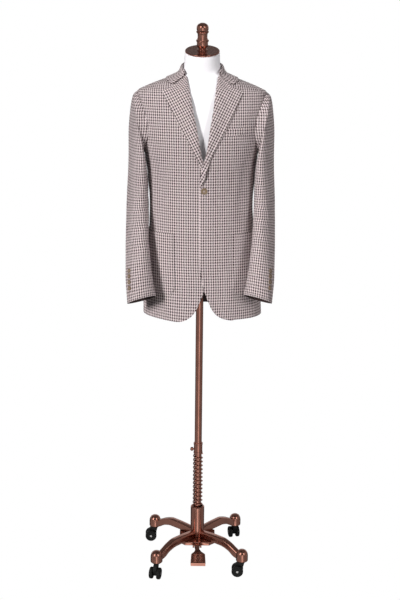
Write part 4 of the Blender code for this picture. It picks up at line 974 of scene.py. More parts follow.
# soft folds in the same order, by turn and by section counted down the sleeve
sleeveCreases = {
    1: (
        (118, 7.4, 52, 7.9, 0.010, -0.0030), (126, 8.0, 40, 8.7, 0.012, -0.0034),
        (112, 8.8, 30, 9.4, 0.011, -0.0026), (104, 6.6, 60, 7.0, 0.012, -0.0020),
        (96, 9.6, 36, 10.2, 0.012, -0.0018), (46, 5.6, 20, 7.4, 0.014, 0.0018),
        (-30, 7.6, 22, 8.4, 0.012, -0.0020), (-44, 8.6, 14, 9.3, 0.013, -0.0018),
        (150, 7.2, 236, 7.8, 0.011, -0.0026), (160, 8.1, 250, 8.6, 0.013, -0.0026),
        (170, 9.1, 244, 9.8, 0.012, -0.0018), (78, 3.4, 64, 5.6, 0.013, -0.0018),
        (10, 2.2, 4, 4.6, 0.016, -0.0014), (280, 5.8, 262, 8.0, 0.014, 0.0016),
        (172, 5.6, 172, 8.8, 0.014, 0.0008),
    ),
    -1: (
        (120, 7.6, 60, 8.0, 0.011, -0.0030), (124, 8.3, 36, 8.9, 0.011, -0.0030),
        (108, 9.2, 42, 9.7, 0.012, -0.0022), (100, 6.9, 56, 7.2, 0.011, -0.0022),
        (90, 10.2, 30, 10.7, 0.012, -0.0016), (40, 5.4, 18, 7.2, 0.015, 0.0018),
        (-34, 7.9, 20, 8.6, 0.012, -0.0020), (-40, 9.0, 16, 9.6, 0.012, -0.0016),
        (152, 7.4, 238, 8.0, 0.012, -0.0026), (158, 8.4, 246, 8.9, 0.012, -0.0024),
        (168, 9.3, 240, 10.0, 0.012, -0.0018), (80, 3.2, 66, 5.2, 0.014, -0.0020),
        (12, 2.4, 6, 4.8, 0.016, -0.0014), (276, 5.6, 264, 7.8, 0.014, 0.0016),
        (172, 4.6, 172, 9.9, 0.016, 0.0050),
    ),
}
lastRing = len(sleeveCut["rows"])
ringHeights = np.concatenate(([sleeveCut["armholeLevel"]], columnOf(sleeveCut, "height")))


def sleeveRing(index, degrees):
    if index == 0:
        return bodyFace(armTurn(degrees), armHeight(degrees))
    section = dict(zip(sleeveCut["columns"], sleeveCut["rows"][index - 1]))
    turn = np.radians(degrees)
    fan, pitch, yaw = (math.radians(section[name]) for name in ("fan", "pitch", "yaw"))
    power = 2 / sleeveCut["squareness"]
    wide = section["halfWidth"] * signedPower(np.cos(turn), power)
    deep = section["halfDepth"] * signedPower(np.sin(turn), power)
    x = wide * math.cos(fan)
    y = -deep * math.cos(pitch)
    z = wide * math.sin(fan) + deep * math.sin(pitch)
    spunX = x * math.cos(yaw) + y * math.sin(yaw)
    spunY = -x * math.sin(yaw) + y * math.cos(yaw)
    return np.stack((section["across"] + spunX, section["deep"] + spunY, section["height"] + z), -1)


def sleeveFace(place, degrees):
    i = min(int(place), lastRing - 1)
    t = place - i
    p0, p1, p2, p3 = (sleeveRing(min(max(k, 0), lastRing), degrees) for k in (i - 1, i, i + 1, i + 2))
    bend = (2 * p0 - 5 * p1 + 4 * p2 - p3) * t * t + (3 * p1 - p0 - 3 * p2 + p3) * t**3
    return 0.5 * (2 * p1 + (p2 - p0) * t + bend)


def sleeveNormal(place, degrees):
    down = sleeveFace(min(place + 0.05, lastRing), degrees) - sleeveFace(max(place - 0.05, 0), degrees)
    around = sleeveFace(place, degrees + 1) - sleeveFace(place, degrees - 1)
    normal = unit(np.cross(around, down))
    panel = bodyNormal(armTurn(degrees), armHeight(degrees))
    atTop = 1 - float(ease(np.array(place / sleeveCut["panelUntil"])))
    return unit(lerp(normal, panel, atTop))


def seamTurns(place):
    share = place / lastRing
    return lerp(*sleeveCut["hindSeam"], share), lerp(*sleeveCut["foreSeam"], share)


def cuffRaise(place, side):
    return np.array((0, 0, sleeveCut["cuffRaise"][side])) * fade(place, *sleeveCut["raiseFrom"])


def ringLevel(place):
    return np.interp(place, range(lastRing + 1), ringHeights)


def sleevePoint(place, degrees, side, lift):
    rows = laidFlat(sleeveCreases[side], sleeveCut["metresPerTurn"], ringLevel)
    around = np.radians(degrees) * sleeveCut["metresPerTurn"]
    lift = lift + creaseLift(rows, around, ringLevel(place) + 0 * degrees)
    face = sleeveFace(place, degrees) + cuffRaise(place, side)
    return face + lift[..., None] * sleeveNormal(place, degrees)


# how far round the sleeve each point is: along level slices on the cap, along the rings below it
def girthOf(points, places, first):
    ringRun = runLength(points)
    levels = np.linspace(points[..., 2].min(), points[..., 2].max(), sleeveCut["slices"])
    slices = np.zeros((len(levels), points.shape[1], 2))
    for j in range(points.shape[1]):
        falling = np.minimum.accumulate(points[:, j, 2])
        for k in range(2):
            slices[:, j, k] = np.interp(levels, falling[::-1], points[::-1, j, k])
    levelRun = runLength(slices)
    girth = np.zeros(points.shape[:2])
    below = fade(places, *sleeveCut["tubeFrom"])
    for j in range(points.shape[1]):
        onLevel = np.interp(points[:, j, 2], levels, levelRun[:, j] - levelRun[:, first])
        girth[:, j] = lerp(onLevel, ringRun[:, j] - ringRun[:, first], below)
    return girth


# the cap rolls softly over its front and hind ridges
def rolledOver(points, places):
    columns = np.arange(points.shape[1])
    held = ease(places / sleeveCut["rollFrom"]) * (1 - fade(places, *sleeveCut["rollTo"]))
    inside = ease(np.minimum(columns, columns[::-1]) / sleeveCut["rollEdge"])
    weight = sleeveCut["rollWeight"] * (held[:, None] * inside)[..., None]
    for _ in range(sleeveCut["rollSteps"]):
        beside, above = points.copy(), points.copy()
        beside[:, 1:-1] = (points[:, :-2] + points[:, 2:]) / 2
        above[1:-1] = (points[:-2] + points[2:]) / 2
        points = points + weight * (beside + above - 2 * points)
    return points


def sleevePiece(side, top):
    places = np.linspace(0.0, lastRing, lastRing * sleeveCut["rowsEach"] + 1)
    points, normals, ringUp = [], [], []
    shares = edgeShares(sleeveCut["acrossSteps"])
    centres = np.stack([columnOf(sleeveCut, name) for name in ("across", "deep", "height")], -1)
    lengths, elbow = runLength(centres), sleeveCut["elbowRing"]
    ringLevels = centres[elbow, 2] + lengths[elbow] - lengths
    for place in places:
        hind, fore = seamTurns(place)
        start, end = (hind, fore) if top else (fore, hind + 360)
        degrees = start + (end - start) * shares
        row = sleeveFace(place, degrees)
        run = runLength(row)
        degrees = np.interp(np.clip(run, halfGap, run[-1] - halfGap), run, degrees)
        sink = sleeveCut["capSink"] * (1 - ease(np.array(place / sleeveCut["capSinkOver"])))
        point = sleevePoint(place, degrees, side, seamSink(row[None])[0] - sink)
        if place == 0:
            point = point + sleeveCut["capGap"] * unit(sleeveFace(0.5, degrees) - point)
        points.append(point)
        normals.append(sleeveNormal(place, degrees))
        ringUp.append(np.interp(place - 1, range(lastRing), ringLevels))
    points, normals, ringUp = np.array(points), np.array(normals), np.array(ringUp)
    points = rolledOver(points, places)
    crown = np.abs(shares - sleeveCut["crownShare"]).argmin() if top else len(shares) - 1
    across = girthOf(points, places, crown)
    low = fade(places, *sleeveCut["ringsFrom"])[:, None]
    up = lerp(points[..., 2], ringUp[:, None] + 0 * points[..., 2], low)
    grain = np.stack((across * side, up), -1)
    points, grain, normals = turnedIn(points, grain, normals, rows=(1, 0), columns=(1, 1))
    mirror = np.array((side, 1, 1))
    name = "sleeve" + ("Top" if top else "Under") + words[side].capitalize()
    node = ("sleeve_top_" if top else "sleeve_under_") + words[side]
    clothPiece(name, node, points * mirror, grain, normals * mirror)


for side in words:
    sleevePiece(side, True)
    sleevePiece(side, False)
print("sleeves made")


# geometry nodes: each tree is built here and its result kept as a plain mesh
def newTree(name, **sizes):
    tree = bpy.data.node_groups.new(name, "GeometryNodeTree")
    tree.interface.new_socket("Geometry", in_out="INPUT", socket_type="NodeSocketGeometry")
    tree.interface.new_socket("Geometry", in_out="OUTPUT", socket_type="NodeSocketGeometry")
    keys = {}
    for kind, labels in sizes.items():
        for label in labels:
            socket = tree.interface.new_socket(label, in_out="INPUT", socket_type="NodeSocket" + kind)
            keys[label] = socket.identifier
    source = tree.nodes.new("NodeGroupInput")
    inputs = {label: Field(tree, source.outputs[label]) for label in ("Geometry", *keys)}
    return tree, inputs, keys


def endTree(tree, shape, finish):
    whole = shape.node("GeometryNodeRealizeInstances", {}, {"Geometry": shape})
    painted = whole.node("GeometryNodeSetMaterial", {}, {"Geometry": whole, "Material": finishes[finish]})
    tree.links.new(painted.socket, tree.nodes.new("NodeGroupOutput").inputs[0])


def grown(name, mesh, tree, keys, values):
    obj = bpy.data.objects.new(name, mesh)
    scene.collection.objects.link(obj)
    step = obj.modifiers.new(tree.name, "NODES")
    step.node_group = tree
    for label, value in values.items():
        step[keys[label]] = value
    applied(obj)
    obj.data.shade_smooth()
    return obj


def applied(obj):
    graph = bpy.context.evaluated_depsgraph_get()
    finished = bpy.data.meshes.new_from_object(obj.evaluated_get(graph))
    obj.modifiers.clear()
    obj.data = finished


def stitchTree():
    tree, given, keys = newTree("edgeStitches", Float=("Pitch", "Long", "Thick"))
    start = Field(tree)
    line = start.node("GeometryNodeMeshToCurve", {}, {"Mesh": given["Geometry"]})
    every = {"Curve": line, "Length": given["Pitch"]}
    spots = start.node("GeometryNodeResampleCurve", {"mode": "LENGTH"}, every)
    tangent = start.node("GeometryNodeInputTangent")
    turn = start.node("FunctionNodeAlignRotationToVector", {"axis": "X"}, {"Vector": tangent})
    size = start.node("ShaderNodeCombineXYZ", {}, {0: given["Long"], 1: given["Thick"], 2: given["Thick"]})
    ball = start.node("GeometryNodeMeshIcoSphere", {}, {"Radius": 0.5, "Subdivisions": 1})
    sewn = start.node("GeometryNodeInstanceOnPoints", {}, {
        "Points": spots, "Instance": ball, "Rotation": turn, "Scale": size,
    })
    endTree(tree, sewn, "sewingThread")
    return tree, keys


def makeStitches():
    points, edges = [], []
    for path in stitchPaths:
        first = len(points)
        points += path.tolist()
        edges += [(first + i, first + i + 1) for i in range(len(path) - 1)]
    mesh = bpy.data.meshes.new("edgeStitches")
    mesh.from_pydata(points, edges, [])
    tree, keys = stitchTree()
    values = {"Pitch": edgeStitch["pitch"], "Long": edgeStitch["long"], "Thick": edgeStitch["thick"]}
    obj = grown("edgeStitches", mesh, tree, keys, values)
    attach(obj, "torso")


makeStitches()
print("edge stitches sewn")


# solids turned on a lathe, lofted or cut to an outline
def meshObject(name, points, faces, finish):
    mesh = bpy.data.meshes.new(name)
    shape = bmesh.new()
    corners = [shape.verts.new(point) for point in points]
    for face in faces:
        shape.faces.new([corners[i] for i in face])
    bmesh.ops.recalc_face_normals(shape, faces=shape.faces)
    if shape.calc_volume(signed=True) < 0:
        bmesh.ops.reverse_faces(shape, faces=shape.faces)
    shape.to_mesh(mesh)
    shape.free()
    mesh.shade_smooth()
    mesh.materials.append(finishes[finish])
    obj = bpy.data.objects.new(name, mesh)
    scene.collection.objects.link(obj)
    return obj


# a profile is pairs of radius and place along the axis
def rodProfile(radius, low, high):
    return ((0.0, low), (radius, low), (radius, high), (0.0, high))


def turned(name, profile, around, finish, place=Matrix.Identity(4), ring=False):
    points, rows = [], []
    for radius, along in profile:
        count = 1 if radius == 0.0 else around
        rows.append(list(range(len(points), len(points) + count)))
        for k in range(count):
            turn = 2 * math.pi * k / around
            points.append(place @ Vector((radius * math.cos(turn), radius * math.sin(turn), along)))
    faces = []
    for low, high in list(zip(rows, rows[1:])) + ([(rows[-1], rows[0])] if ring else []):
        for k in range(around):
            face = [low[k % len(low)], low[(k + 1) % len(low)]]
            face += [high[(k + 1) % len(high)], high[k % len(high)]]
            face = list(dict.fromkeys(face))
            if len(face) > 2:
                faces.append(face)
    return meshObject(name, points, faces, finish)


def lofted(name, rings, finish):
    points = [point for ring in rings for point in ring]
    count = len(rings[0])
    faces = []
    for i in range(len(rings) - 1):
        for k in range(count):
            low, following = i * count + k, i * count + (k + 1) % count
            faces.append([low, following, following + count, low + count])
    faces.append(list(range(count)))
    faces.append(list(range(len(points) - count, len(points))))
    return meshObject(name, points, faces, finish)


def prism(name, outline, low, high, finish, place=Matrix.Identity(4)):
    rings = [[place @ Vector((x, y, z)) for x, y in outline] for z in (low, high)]
    return lofted(name, rings, finish)


def softened(obj, width, segments=3, angle=35.0):
    bevel = obj.modifiers.new("softEdges", "BEVEL")
    bevel.width = width
    bevel.segments = segments
    bevel.limit_method = "ANGLE"
    bevel.angle_limit = math.radians(angle)
    bevel.harden_normals = True
    applied(obj)
    return obj


def joined(obj, other, operation="UNION"):
    step = obj.modifiers.new("join", "BOOLEAN")
    step.operation = operation
    step.solver = "EXACT"
    step.object = other
    applied(obj)
    bpy.data.objects.remove(other)
    return obj


def drilled(obj, finish, radius, low, high, around, place=Matrix.Identity(4)):
    return joined(obj, turned("drill", rodProfile(radius, low, high), around, finish, place), "DIFFERENCE")


def sharpenOver(obj, degrees):
    obj.data.set_sharp_from_angle(angle=math.radians(degrees))
    return obj


def merged(obj, others):
    shape = bmesh.new()
    shape.from_mesh(obj.data)
    for other in others:
        slots = [m.name for m in obj.data.materials]
        for material in other.data.materials:
            if material.name not in slots:
                obj.data.materials.append(material)
                slots.append(material.name)
        index = slots.index(other.data.materials[0].name)
        before = len(shape.faces)
        shape.from_mesh(other.data)
        shape.faces.ensure_lookup_table()
        for face in shape.faces[before:]:
            face.material_index = index
        bpy.data.objects.remove(other)
    shape.to_mesh(obj.data)
    shape.free()
    return obj


def fitted(obj, body, slot, *nodes):
    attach(obj, body)
    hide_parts(*nodes)
    return obj


# buttons: dished, four holes, sewn with crossed thread
hornButton = {
    "frontRadius": 0.0105, "frontTall": 0.0036, "cuffRadius": 0.0075, "cuffTall": 0.0030, "around": 40,
    "profile": (
        (0.0, 0.0), (0.90, 0.0), (0.98, 0.2), (1.0, 0.45), (0.985, 0.75), (0.93, 0.95), (0.86, 1.0),
        (0.78, 0.97), (0.70, 0.84), (0.60, 0.73), (0.45, 0.70), (0.0, 0.69),
    ),
    "holeShare": 0.22, "holeWide": 0.11, "holeFrom": 0.2, "holeTo": 1.4,
    "threadReach": 1.45, "threadLow": 0.66, "threadArch": 0.22, "threadWide": 0.09, "threadTall": 0.07,
    "threadSteps": 9, "threadSides": 8, "threadTurns": (45.0, -45.0), "drillAround": 12,
    "frontAt": (0.0103, 1.3312), "cuffTurn": {1: 20.0, -1: 17.0},
    "cuffPlaces": (11.45, 11.78, 12.09, 12.34), "cuffLift": 0.0001,
}


def crossThread(spot, radius, tall, turn):
    rings = []
    for share in np.linspace(-1.0, 1.0, hornButton["threadSteps"]):
        arch = hornButton["threadLow"] + hornButton["threadArch"] * math.cos(share * math.pi / 2)
        middle = Vector((share * spot * hornButton["threadReach"], 0, tall * arch))
        wide, deep = hornButton["threadWide"] * radius, hornButton["threadTall"] * radius
        rings.append([
            spun(turn, "Z") @ (middle + Vector((0, wide * math.cos(a), deep * math.sin(a))))
            for a in np.linspace(0, 2 * math.pi, hornButton["threadSides"], endpoint=False)
        ])
    return lofted("thread", rings, "sewingThread")


def buttonMesh(name, radius, tall):
    profile = [(radius * wide, tall * up) for wide, up in hornButton["profile"]]
    obj = turned(name, profile, hornButton["around"], "horn")
    spot = radius * hornButton["holeShare"]
    low, high = tall * hornButton["holeFrom"], tall * hornButton["holeTo"]
    bit = radius * hornButton["holeWide"]
    for x, y in ((spot, spot), (-spot, spot), (spot, -spot), (-spot, -spot)):
        drilled(obj, "horn", bit, low, high, hornButton["drillAround"], Matrix.Translation((x, y, 0)))
    threads = [crossThread(spot, radius, tall, turn) for turn in hornButton["threadTurns"]]
    return sharpenOver(merged(obj, threads), 40)


def seatedAt(obj, at, normal):
    turn = Vector((0, 0, 1)).rotation_difference(Vector(normal)).to_matrix().to_4x4()
    obj.data.transform(Matrix.Translation(Vector(at)) @ turn)
    return obj


def makeButtons():
    across, height = (np.array(value) for value in hornButton["frontAt"])
    turn = turnAt(across, height)
    at = bodyPoint(turn, height, lapLift(across, height) + coatForm["seamGap"])
    front = buttonMesh("buttonFront", hornButton["frontRadius"], hornButton["frontTall"])
    fitted(seatedAt(front, at, bodyNormal(turn, height)), "torso", "horn", "button_front")
    for side, word in words.items():
        mirror = np.array((side, 1, 1))
        degrees = np.array(hornButton["cuffTurn"][side])
        for count, place in enumerate(hornButton["cuffPlaces"], 1):
            normal = sleeveNormal(place, degrees)
            at = sleeveFace(place, degrees) + cuffRaise(place, side) + normal * hornButton["cuffLift"]
            name = f"buttonCuff{word.capitalize()}{count}"
            button = buttonMesh(name, hornButton["cuffRadius"], hornButton["cuffTall"])
            seatedAt(button, at * mirror, normal * mirror)
            fitted(button, "torso", "horn", f"button_cuff_{word}_{count}")


makeButtons()
print("buttons sewn on")


# the form, its neck cap and finial
dressForm = {
    "columns": ("height", "halfWidth", "frontDepth", "backDepth", "squareness", "deep", "tilt"),
    "rows": (
        (1.000, 0.1680, 0.1060, 0.1060, 2.20, 0.0, 0.0), (1.060, 0.1700, 0.1080, 0.1080, 2.20, 0.0, 0.0),
        (1.150, 0.1630, 0.1070, 0.1010, 2.20, 0.0, 0.0), (1.250, 0.1535, 0.1060, 0.0935, 2.20, 0.0, 0.0),
        (1.340, 0.1555, 0.1110, 0.0970, 2.20, 0.0, 0.0), (1.420, 0.1600, 0.1170, 0.1050, 2.20, 0.0, 0.0),
        (1.500, 0.1650, 0.1160, 0.1100, 2.25, 0.0, 0.0), (1.560, 0.1740, 0.1075, 0.1105, 2.30, 0.0, 0.0),
        (1.600, 0.1880, 0.0965, 0.1045, 2.35, 0.0, 0.0), (1.620, 0.1980, 0.0903, 0.0998, 2.38, 0.0, 0.0),
    ),
    "neck": (
        (1.6960, 0.0685, 0.0560, 0.0610, 2.10, -0.002, 0.0),
        (1.7060, 0.0605, 0.0555, 0.0580, 2.05, -0.004, 2.0),
        (1.7200, 0.0580, 0.0565, 0.0560, 2.00, -0.006, 5.0),
        (1.7350, 0.0570, 0.0560, 0.0550, 2.00, -0.009, 9.0),
        (1.7510, 0.0562, 0.0555, 0.0550, 2.00, -0.012, 14.0),
        (1.7620, 0.0555, 0.0550, 0.0550, 2.00, -0.014, 17.0),
    ),
    "shoulders": (1.6344, 1.6489, 1.6639, 1.6779), "drop": 0.0031, "ease": 0.0024, "widest": 0.2035,
    "around": 96, "rowsTall": 110, "neckTop": (0.0, -0.014, 1.762), "neckTilt": 17.0, "capEdge": 0.0008,
    "knobAround": 64, "knobEdge": (0.0006, 2, 25.0),
}
neckCap = (
    (0.0, 0.0003), (0.0535, 0.0003), (0.0555, 0.0018), (0.0555, 0.0040), (0.0540, 0.0056), (0.0, 0.0056),
)
finial = (
    (0.0, 0.0059), (0.0160, 0.0059), (0.0160, 0.0080), (0.0130, 0.0095), (0.0130, 0.0165),
    (0.0168, 0.0180), (0.0182, 0.0230), (0.0182, 0.0315), (0.0172, 0.0346), (0.0205, 0.0357),
    (0.0205, 0.0382), (0.0178, 0.0398), (0.0158, 0.0470), (0.0158, 0.0560), (0.0170, 0.0632),
    (0.0200, 0.0648), (0.0200, 0.0672), (0.0172, 0.0686), (0.0190, 0.0734), (0.0195, 0.0783),
    (0.0182, 0.0843), (0.0148, 0.0891), (0.0085, 0.0927), (0.0, 0.0940),
)


def makeForm():
    rows = [list(row) for row in dressForm["rows"]]
    for height in dressForm["shoulders"]:
        over = np.array(height + dressForm["drop"])
        wide, front, back, square = (
            float(bodyCurves[name](over)) for name in ("halfWidth", "frontDepth", "backDepth", "squareness")
        )
        under = dressForm["ease"]
        rows.append([height, min(wide, dressForm["widest"]), front - under, back - under, square, 0.0, 0.0])
    rows = np.array(rows + [list(row) for row in dressForm["neck"]])
    even = np.linspace(rows[0, 0], rows[-1, 0], dressForm["rowsTall"])
    heights = np.unique(np.concatenate((even, rows[:, 0])))
    values = [curveThrough(rows[:, 0], rows[:, i])(heights) for i in range(len(dressForm["columns"]))]
    turns = np.linspace(0, 2 * np.pi, dressForm["around"], endpoint=False)
    rings = []
    for row in np.stack(values, -1):
        row = dict(zip(dressForm["columns"], row))
        power, tilt = 2 / row["squareness"], math.radians(row["tilt"])
        depth = np.where(np.cos(turns) > 0, row["frontDepth"], row["backDepth"])
        along = -depth * signedPower(np.cos(turns), power)
        across = row["halfWidth"] * signedPower(np.sin(turns), power)
        deep, tall = row["deep"] + along * math.cos(tilt), row["height"] + along * math.sin(tilt)
        rings.append(np.stack((across, deep, tall), -1).tolist())
    fitted(sharpenOver(lofted("dressForm", rings, "jersey"), 50), "torso", "white_cloth", "form")
    leaning = Matrix.Translation(dressForm["neckTop"]) @ spun(dressForm["neckTilt"], "X")
    cap = turned("neckCap", neckCap, dressForm["around"], "bronze", leaning)
    fitted(softened(cap, dressForm["capEdge"]), "torso", "bronze", "neck_cap")
    knob = turned("finialKnob", finial, dressForm["knobAround"], "bronze", leaning)
    fitted(softened(knob, *dressForm["knobEdge"]), "torso", "bronze", "finial")


makeForm()
print("form, cap and finial made")


# pole, clamp collar, thumb screw and spring
mast = {
    "poleRadius": 0.0125, "poleLow": 0.1150, "poleHigh": 0.9997, "bore": 0.0128, "collarRadius": 0.0158,
    "collarLow": 0.3930, "collarHigh": 0.4315, "collarBand": 0.0060, "bandStep": 0.0009, "bandSlope": 0.0008,
    "screwHeight": 0.4080, "screwHole": 0.0034, "holeCut": (0.011, 0.020), "around": 64,
    "poleEdge": 0.0008, "holeAround": 24, "screwAround": 40, "screwEdge": (0.0004, 2),
    "screw": (
        (0.0, 0.0130), (0.0028, 0.0130), (0.0028, 0.0162), (0.0045, 0.0166), (0.0066, 0.0190),
        (0.0070, 0.0220), (0.0060, 0.0252), (0.0030, 0.0272), (0.0, 0.0275),
    ),
}
coilSpring = {
    "radius": 0.0155, "wire": 0.0020, "low": 0.1885, "high": 0.3903, "turns": 14.0, "restLow": 0.1864,
    "keep": 0.504, "perTurn": 36, "sides": 10,
}


def makeMast():
    rod = rodProfile(mast["poleRadius"], mast["poleLow"], mast["poleHigh"])
    pole = turned("standPole", rod, mast["around"], "bronze")
    fitted(softened(pole, mast["poleEdge"]), "mast", "bronze", "pole")
    low, high, radius, bore = (mast[name] for name in ("collarLow", "collarHigh", "collarRadius", "bore"))
    band, waist = mast["collarBand"], radius - mast["bandStep"]
    inner = band + mast["bandSlope"]
    loop = (
        (bore, low), (radius, low), (radius, low + band), (waist, low + inner),
        (waist, high - inner), (radius, high - band), (radius, high), (bore, high),
    )
    collar = turned("clampCollar", loop, mast["around"], "bronze", ring=True)
    sideways = Matrix.Translation((0, 0, mast["screwHeight"])) @ spun(-90, "Y")
    drilled(collar, "bronze", mast["screwHole"], *mast["holeCut"], mast["holeAround"], sideways)
    fitted(sharpenOver(collar, 30), "mast", "bronze", "pole_collar")
    screw = turned("thumbScrew", mast["screw"], mast["screwAround"], "bronze", sideways)
    fitted(softened(screw, *mast["screwEdge"]), "screw", "bronze", "thumb_screw")


def springTree():
    tree, given, keys = newTree("coilSpring", Float=("Turns", "Radius", "Tall", "Wire", "Low"))
    start = Field(tree)
    path = start.node("GeometryNodeCurveSpiral", {}, {
        "Resolution": coilSpring["perTurn"], "Rotations": given["Turns"], "Start Radius": given["Radius"],
        "End Radius": given["Radius"], "Height": given["Tall"],
    })
    section = {"Resolution": coilSpring["sides"], "Radius": given["Wire"]}
    wire = start.node("GeometryNodeCurvePrimitiveCircle", {}, section)
    swept = {"Curve": path, "Profile Curve": wire, "Fill Caps": True}
    coil = start.node("GeometryNodeCurveToMesh", {}, swept)
    lift = start.node("ShaderNodeCombineXYZ", {}, {2: given["Low"]})
    raised = start.node("GeometryNodeTransform", {}, {"Geometry": coil, "Translation": lift})
    endTree(tree, raised, "bronze")
    return tree, keys


def makeSpring():
    tree, keys = springTree()
    values = {
        "Turns": coilSpring["turns"], "Radius": coilSpring["radius"], "Wire": coilSpring["wire"],
        "Tall": coilSpring["high"] - coilSpring["low"], "Low": coilSpring["low"],
    }
    obj = grown("coilSpring", bpy.data.meshes.new("coilSpring"), tree, keys, values)
    fitted(obj, "base", "bronze", "spring")
    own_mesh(obj)


makeMast()
makeSpring()
print("pole, collar, screw and spring made")


# hub, legs, plate and pedal
hubShape = {
    "radius": 0.0240, "low": 0.0848, "high": 0.1970, "mouth": 0.0185, "floor": 0.1860, "bore": 0.0131,
    "chamfer": 0.0035, "around": 72, "edge": (0.0007, 2),
}
legShape = {
    "columns": ("reach", "top", "halfWidth", "tall"),
    "rows": (
        (0.0120, 0.1060, 0.0120, 0.0210), (0.0400, 0.1080, 0.0120, 0.0229), (0.0850, 0.1105, 0.0118, 0.0254),
        (0.1180, 0.1108, 0.0115, 0.0260), (0.1500, 0.1028, 0.0112, 0.0250), (0.1740, 0.0915, 0.0108, 0.0275),
        (0.2000, 0.0790, 0.0105, 0.0215),
    ),
    "turns": {"fr": -41.8, "br": 48.2, "bl": 138.2, "fl": -131.8}, "reach": 0.2075,
    "round": 0.0060, "lowRound": 0.0018, "sections": 44,
    "dome": (
        (0.0, 0.0555), (0.0192, 0.0555), (0.0203, 0.0566), (0.0206, 0.0585), (0.0206, 0.0740),
        (0.0199, 0.0800), (0.0180, 0.0862), (0.0148, 0.0911), (0.0106, 0.0942), (0.0056, 0.0956),
        (0.0, 0.0960),
    ),
    "stemBore": 0.0055, "stemCut": (0.050, 0.0760), "stemAround": 24, "waistCut": (0.05, 0.20), "around": 56,
}
plateShape = {
    "half": 0.0620, "corner": 0.0200, "low": 0.0720, "high": 0.0845, "hole": 0.0140, "earFrom": 0.0095,
    "earTo": 0.0155, "earRadius": 0.0075, "earBack": 0.012, "earLow": 0.004, "earHigh": 0.006,
    "pinRoom": 0.0005, "pinCut": (-0.03, 0.03), "poleCut": (0.06, 0.10), "around": 40, "edge": 0.0012,
}
pedalShape = {
    "columns": ("across", "deep", "height", "halfWidth", "tall"),
    "rows": (
        (0.000, -0.0635, 0.0760, 0.0085, 0.0110), (0.000, -0.0760, 0.0750, 0.0085, 0.0110),
        (0.001, -0.0860, 0.0670, 0.0070, 0.0090), (0.003, -0.0940, 0.0620, 0.0130, 0.0070),
        (0.004, -0.1030, 0.0575, 0.0240, 0.0070), (0.004, -0.1330, 0.0430, 0.0260, 0.0070),
        (0.004, -0.1410, 0.0390, 0.0255, 0.0110),
    ),
    "pin": (-0.0700, 0.0760), "pinRadius": 0.0030, "pinHalf": 0.0155, "topRound": 0.0022, "lowRound": 0.0014,
    "ribs": 6, "ribWide": 0.0026, "ribLong": 0.9, "ribStart": 0.7, "ribSides": 14, "treadRows": (4, 5),
    "pinAround": 32,
}


def roundedBox(half, low, high, radius, lowRadius, steps=5):
    ring = []
    corners = (
        (half, low, lowRadius, -90), (half, high, radius, 0),
        (-half, high, radius, 90), (-half, low, lowRadius, 180),
    )
    for y, z, r, start in corners:
        middleY = y - math.copysign(r, y)
        middleZ = z + (r if z == low else -r)
        for a in np.radians(np.linspace(start, start + 90, steps)):
            ring.append((middleY + r * math.cos(a), middleZ + r * math.sin(a)))
    return ring


def makeLeg(word):
    at = curvesOf(legShape)
    rings = []
    for reach in np.linspace(legShape["rows"][0][0], legShape["rows"][-1][0], legShape["sections"]):
        top, half, tall = (float(at[name](np.array(reach))) for name in ("top", "halfWidth", "tall"))
        ring = roundedBox(half, top - tall, top, legShape["round"], legShape["lowRound"])
        rings.append([Vector((reach, y, z)) for y, z in ring])
    leg = lofted("leg" + word.capitalize(), rings, "bronze")
    out = Matrix.Translation((legShape["reach"], 0, 0))
    joined(leg, turned("dome", legShape["dome"], legShape["around"], "bronze", out))
    drilled(leg, "bronze", legShape["stemBore"], *legShape["stemCut"], legShape["stemAround"], out)
    waist = hubShape["radius"] + coatForm["seamGap"]
    drilled(leg, "bronze", waist, *legShape["waistCut"], legShape["around"])
    leg.data.transform(spun(legShape["turns"][word], "Z"))
    fitted(sharpenOver(leg, 40), "base", "bronze", "leg_" + word)


def makeHub():
    radius, low, high, chamfer = (hubShape[name] for name in ("radius", "low", "high", "chamfer"))
    bore, mouth, floor = (hubShape[name] for name in ("bore", "mouth", "floor"))
    loop = (
        (bore, low), (radius, low), (radius, high - chamfer), (radius - chamfer, high),
        (mouth, high), (mouth, floor), (bore, floor),
    )
    hub = turned("legHub", loop, hubShape["around"], "bronze", ring=True)
    fitted(softened(hub, *hubShape["edge"]), "base", "bronze", "hub")


def pedalPin():
    return Matrix.Translation((0, *pedalShape["pin"])) @ spun(90, "Y")


def makePlate():
    side, corner = plateShape["half"], plateShape["half"] - plateShape["corner"]
    outline = (
        (-corner, -side), (corner, -side), (side, -corner), (side, corner),
        (corner, side), (-corner, side), (-side, corner), (-side, -corner),
    )
    plate = prism("basePlate", outline, plateShape["low"], plateShape["high"], "bronze")
    softened(plate, plateShape["edge"])
    deep, tall = pedalShape["pin"]
    back = deep + plateShape["earBack"]
    near, far, around = (plateShape[name] for name in ("earFrom", "earTo", "around"))
    for low, high in ((near, far), (-far, -near)):
        ear = turned("ear", rodProfile(plateShape["earRadius"], low, high), around, "bronze", pedalPin())
        root = ((low, back), (low, deep), (high, deep), (high, back))
        joined(ear, prism("root", root, tall - plateShape["earLow"], tall + plateShape["earHigh"], "bronze"))
        joined(plate, ear)
    pinHole = pedalShape["pinRadius"] + plateShape["pinRoom"]
    drilled(plate, "bronze", pinHole, *plateShape["pinCut"], around, pedalPin())
    drilled(plate, "bronze", plateShape["hole"], *plateShape["poleCut"], around)
    fitted(sharpenOver(plate, 30), "base", "bronze", "base_plate")


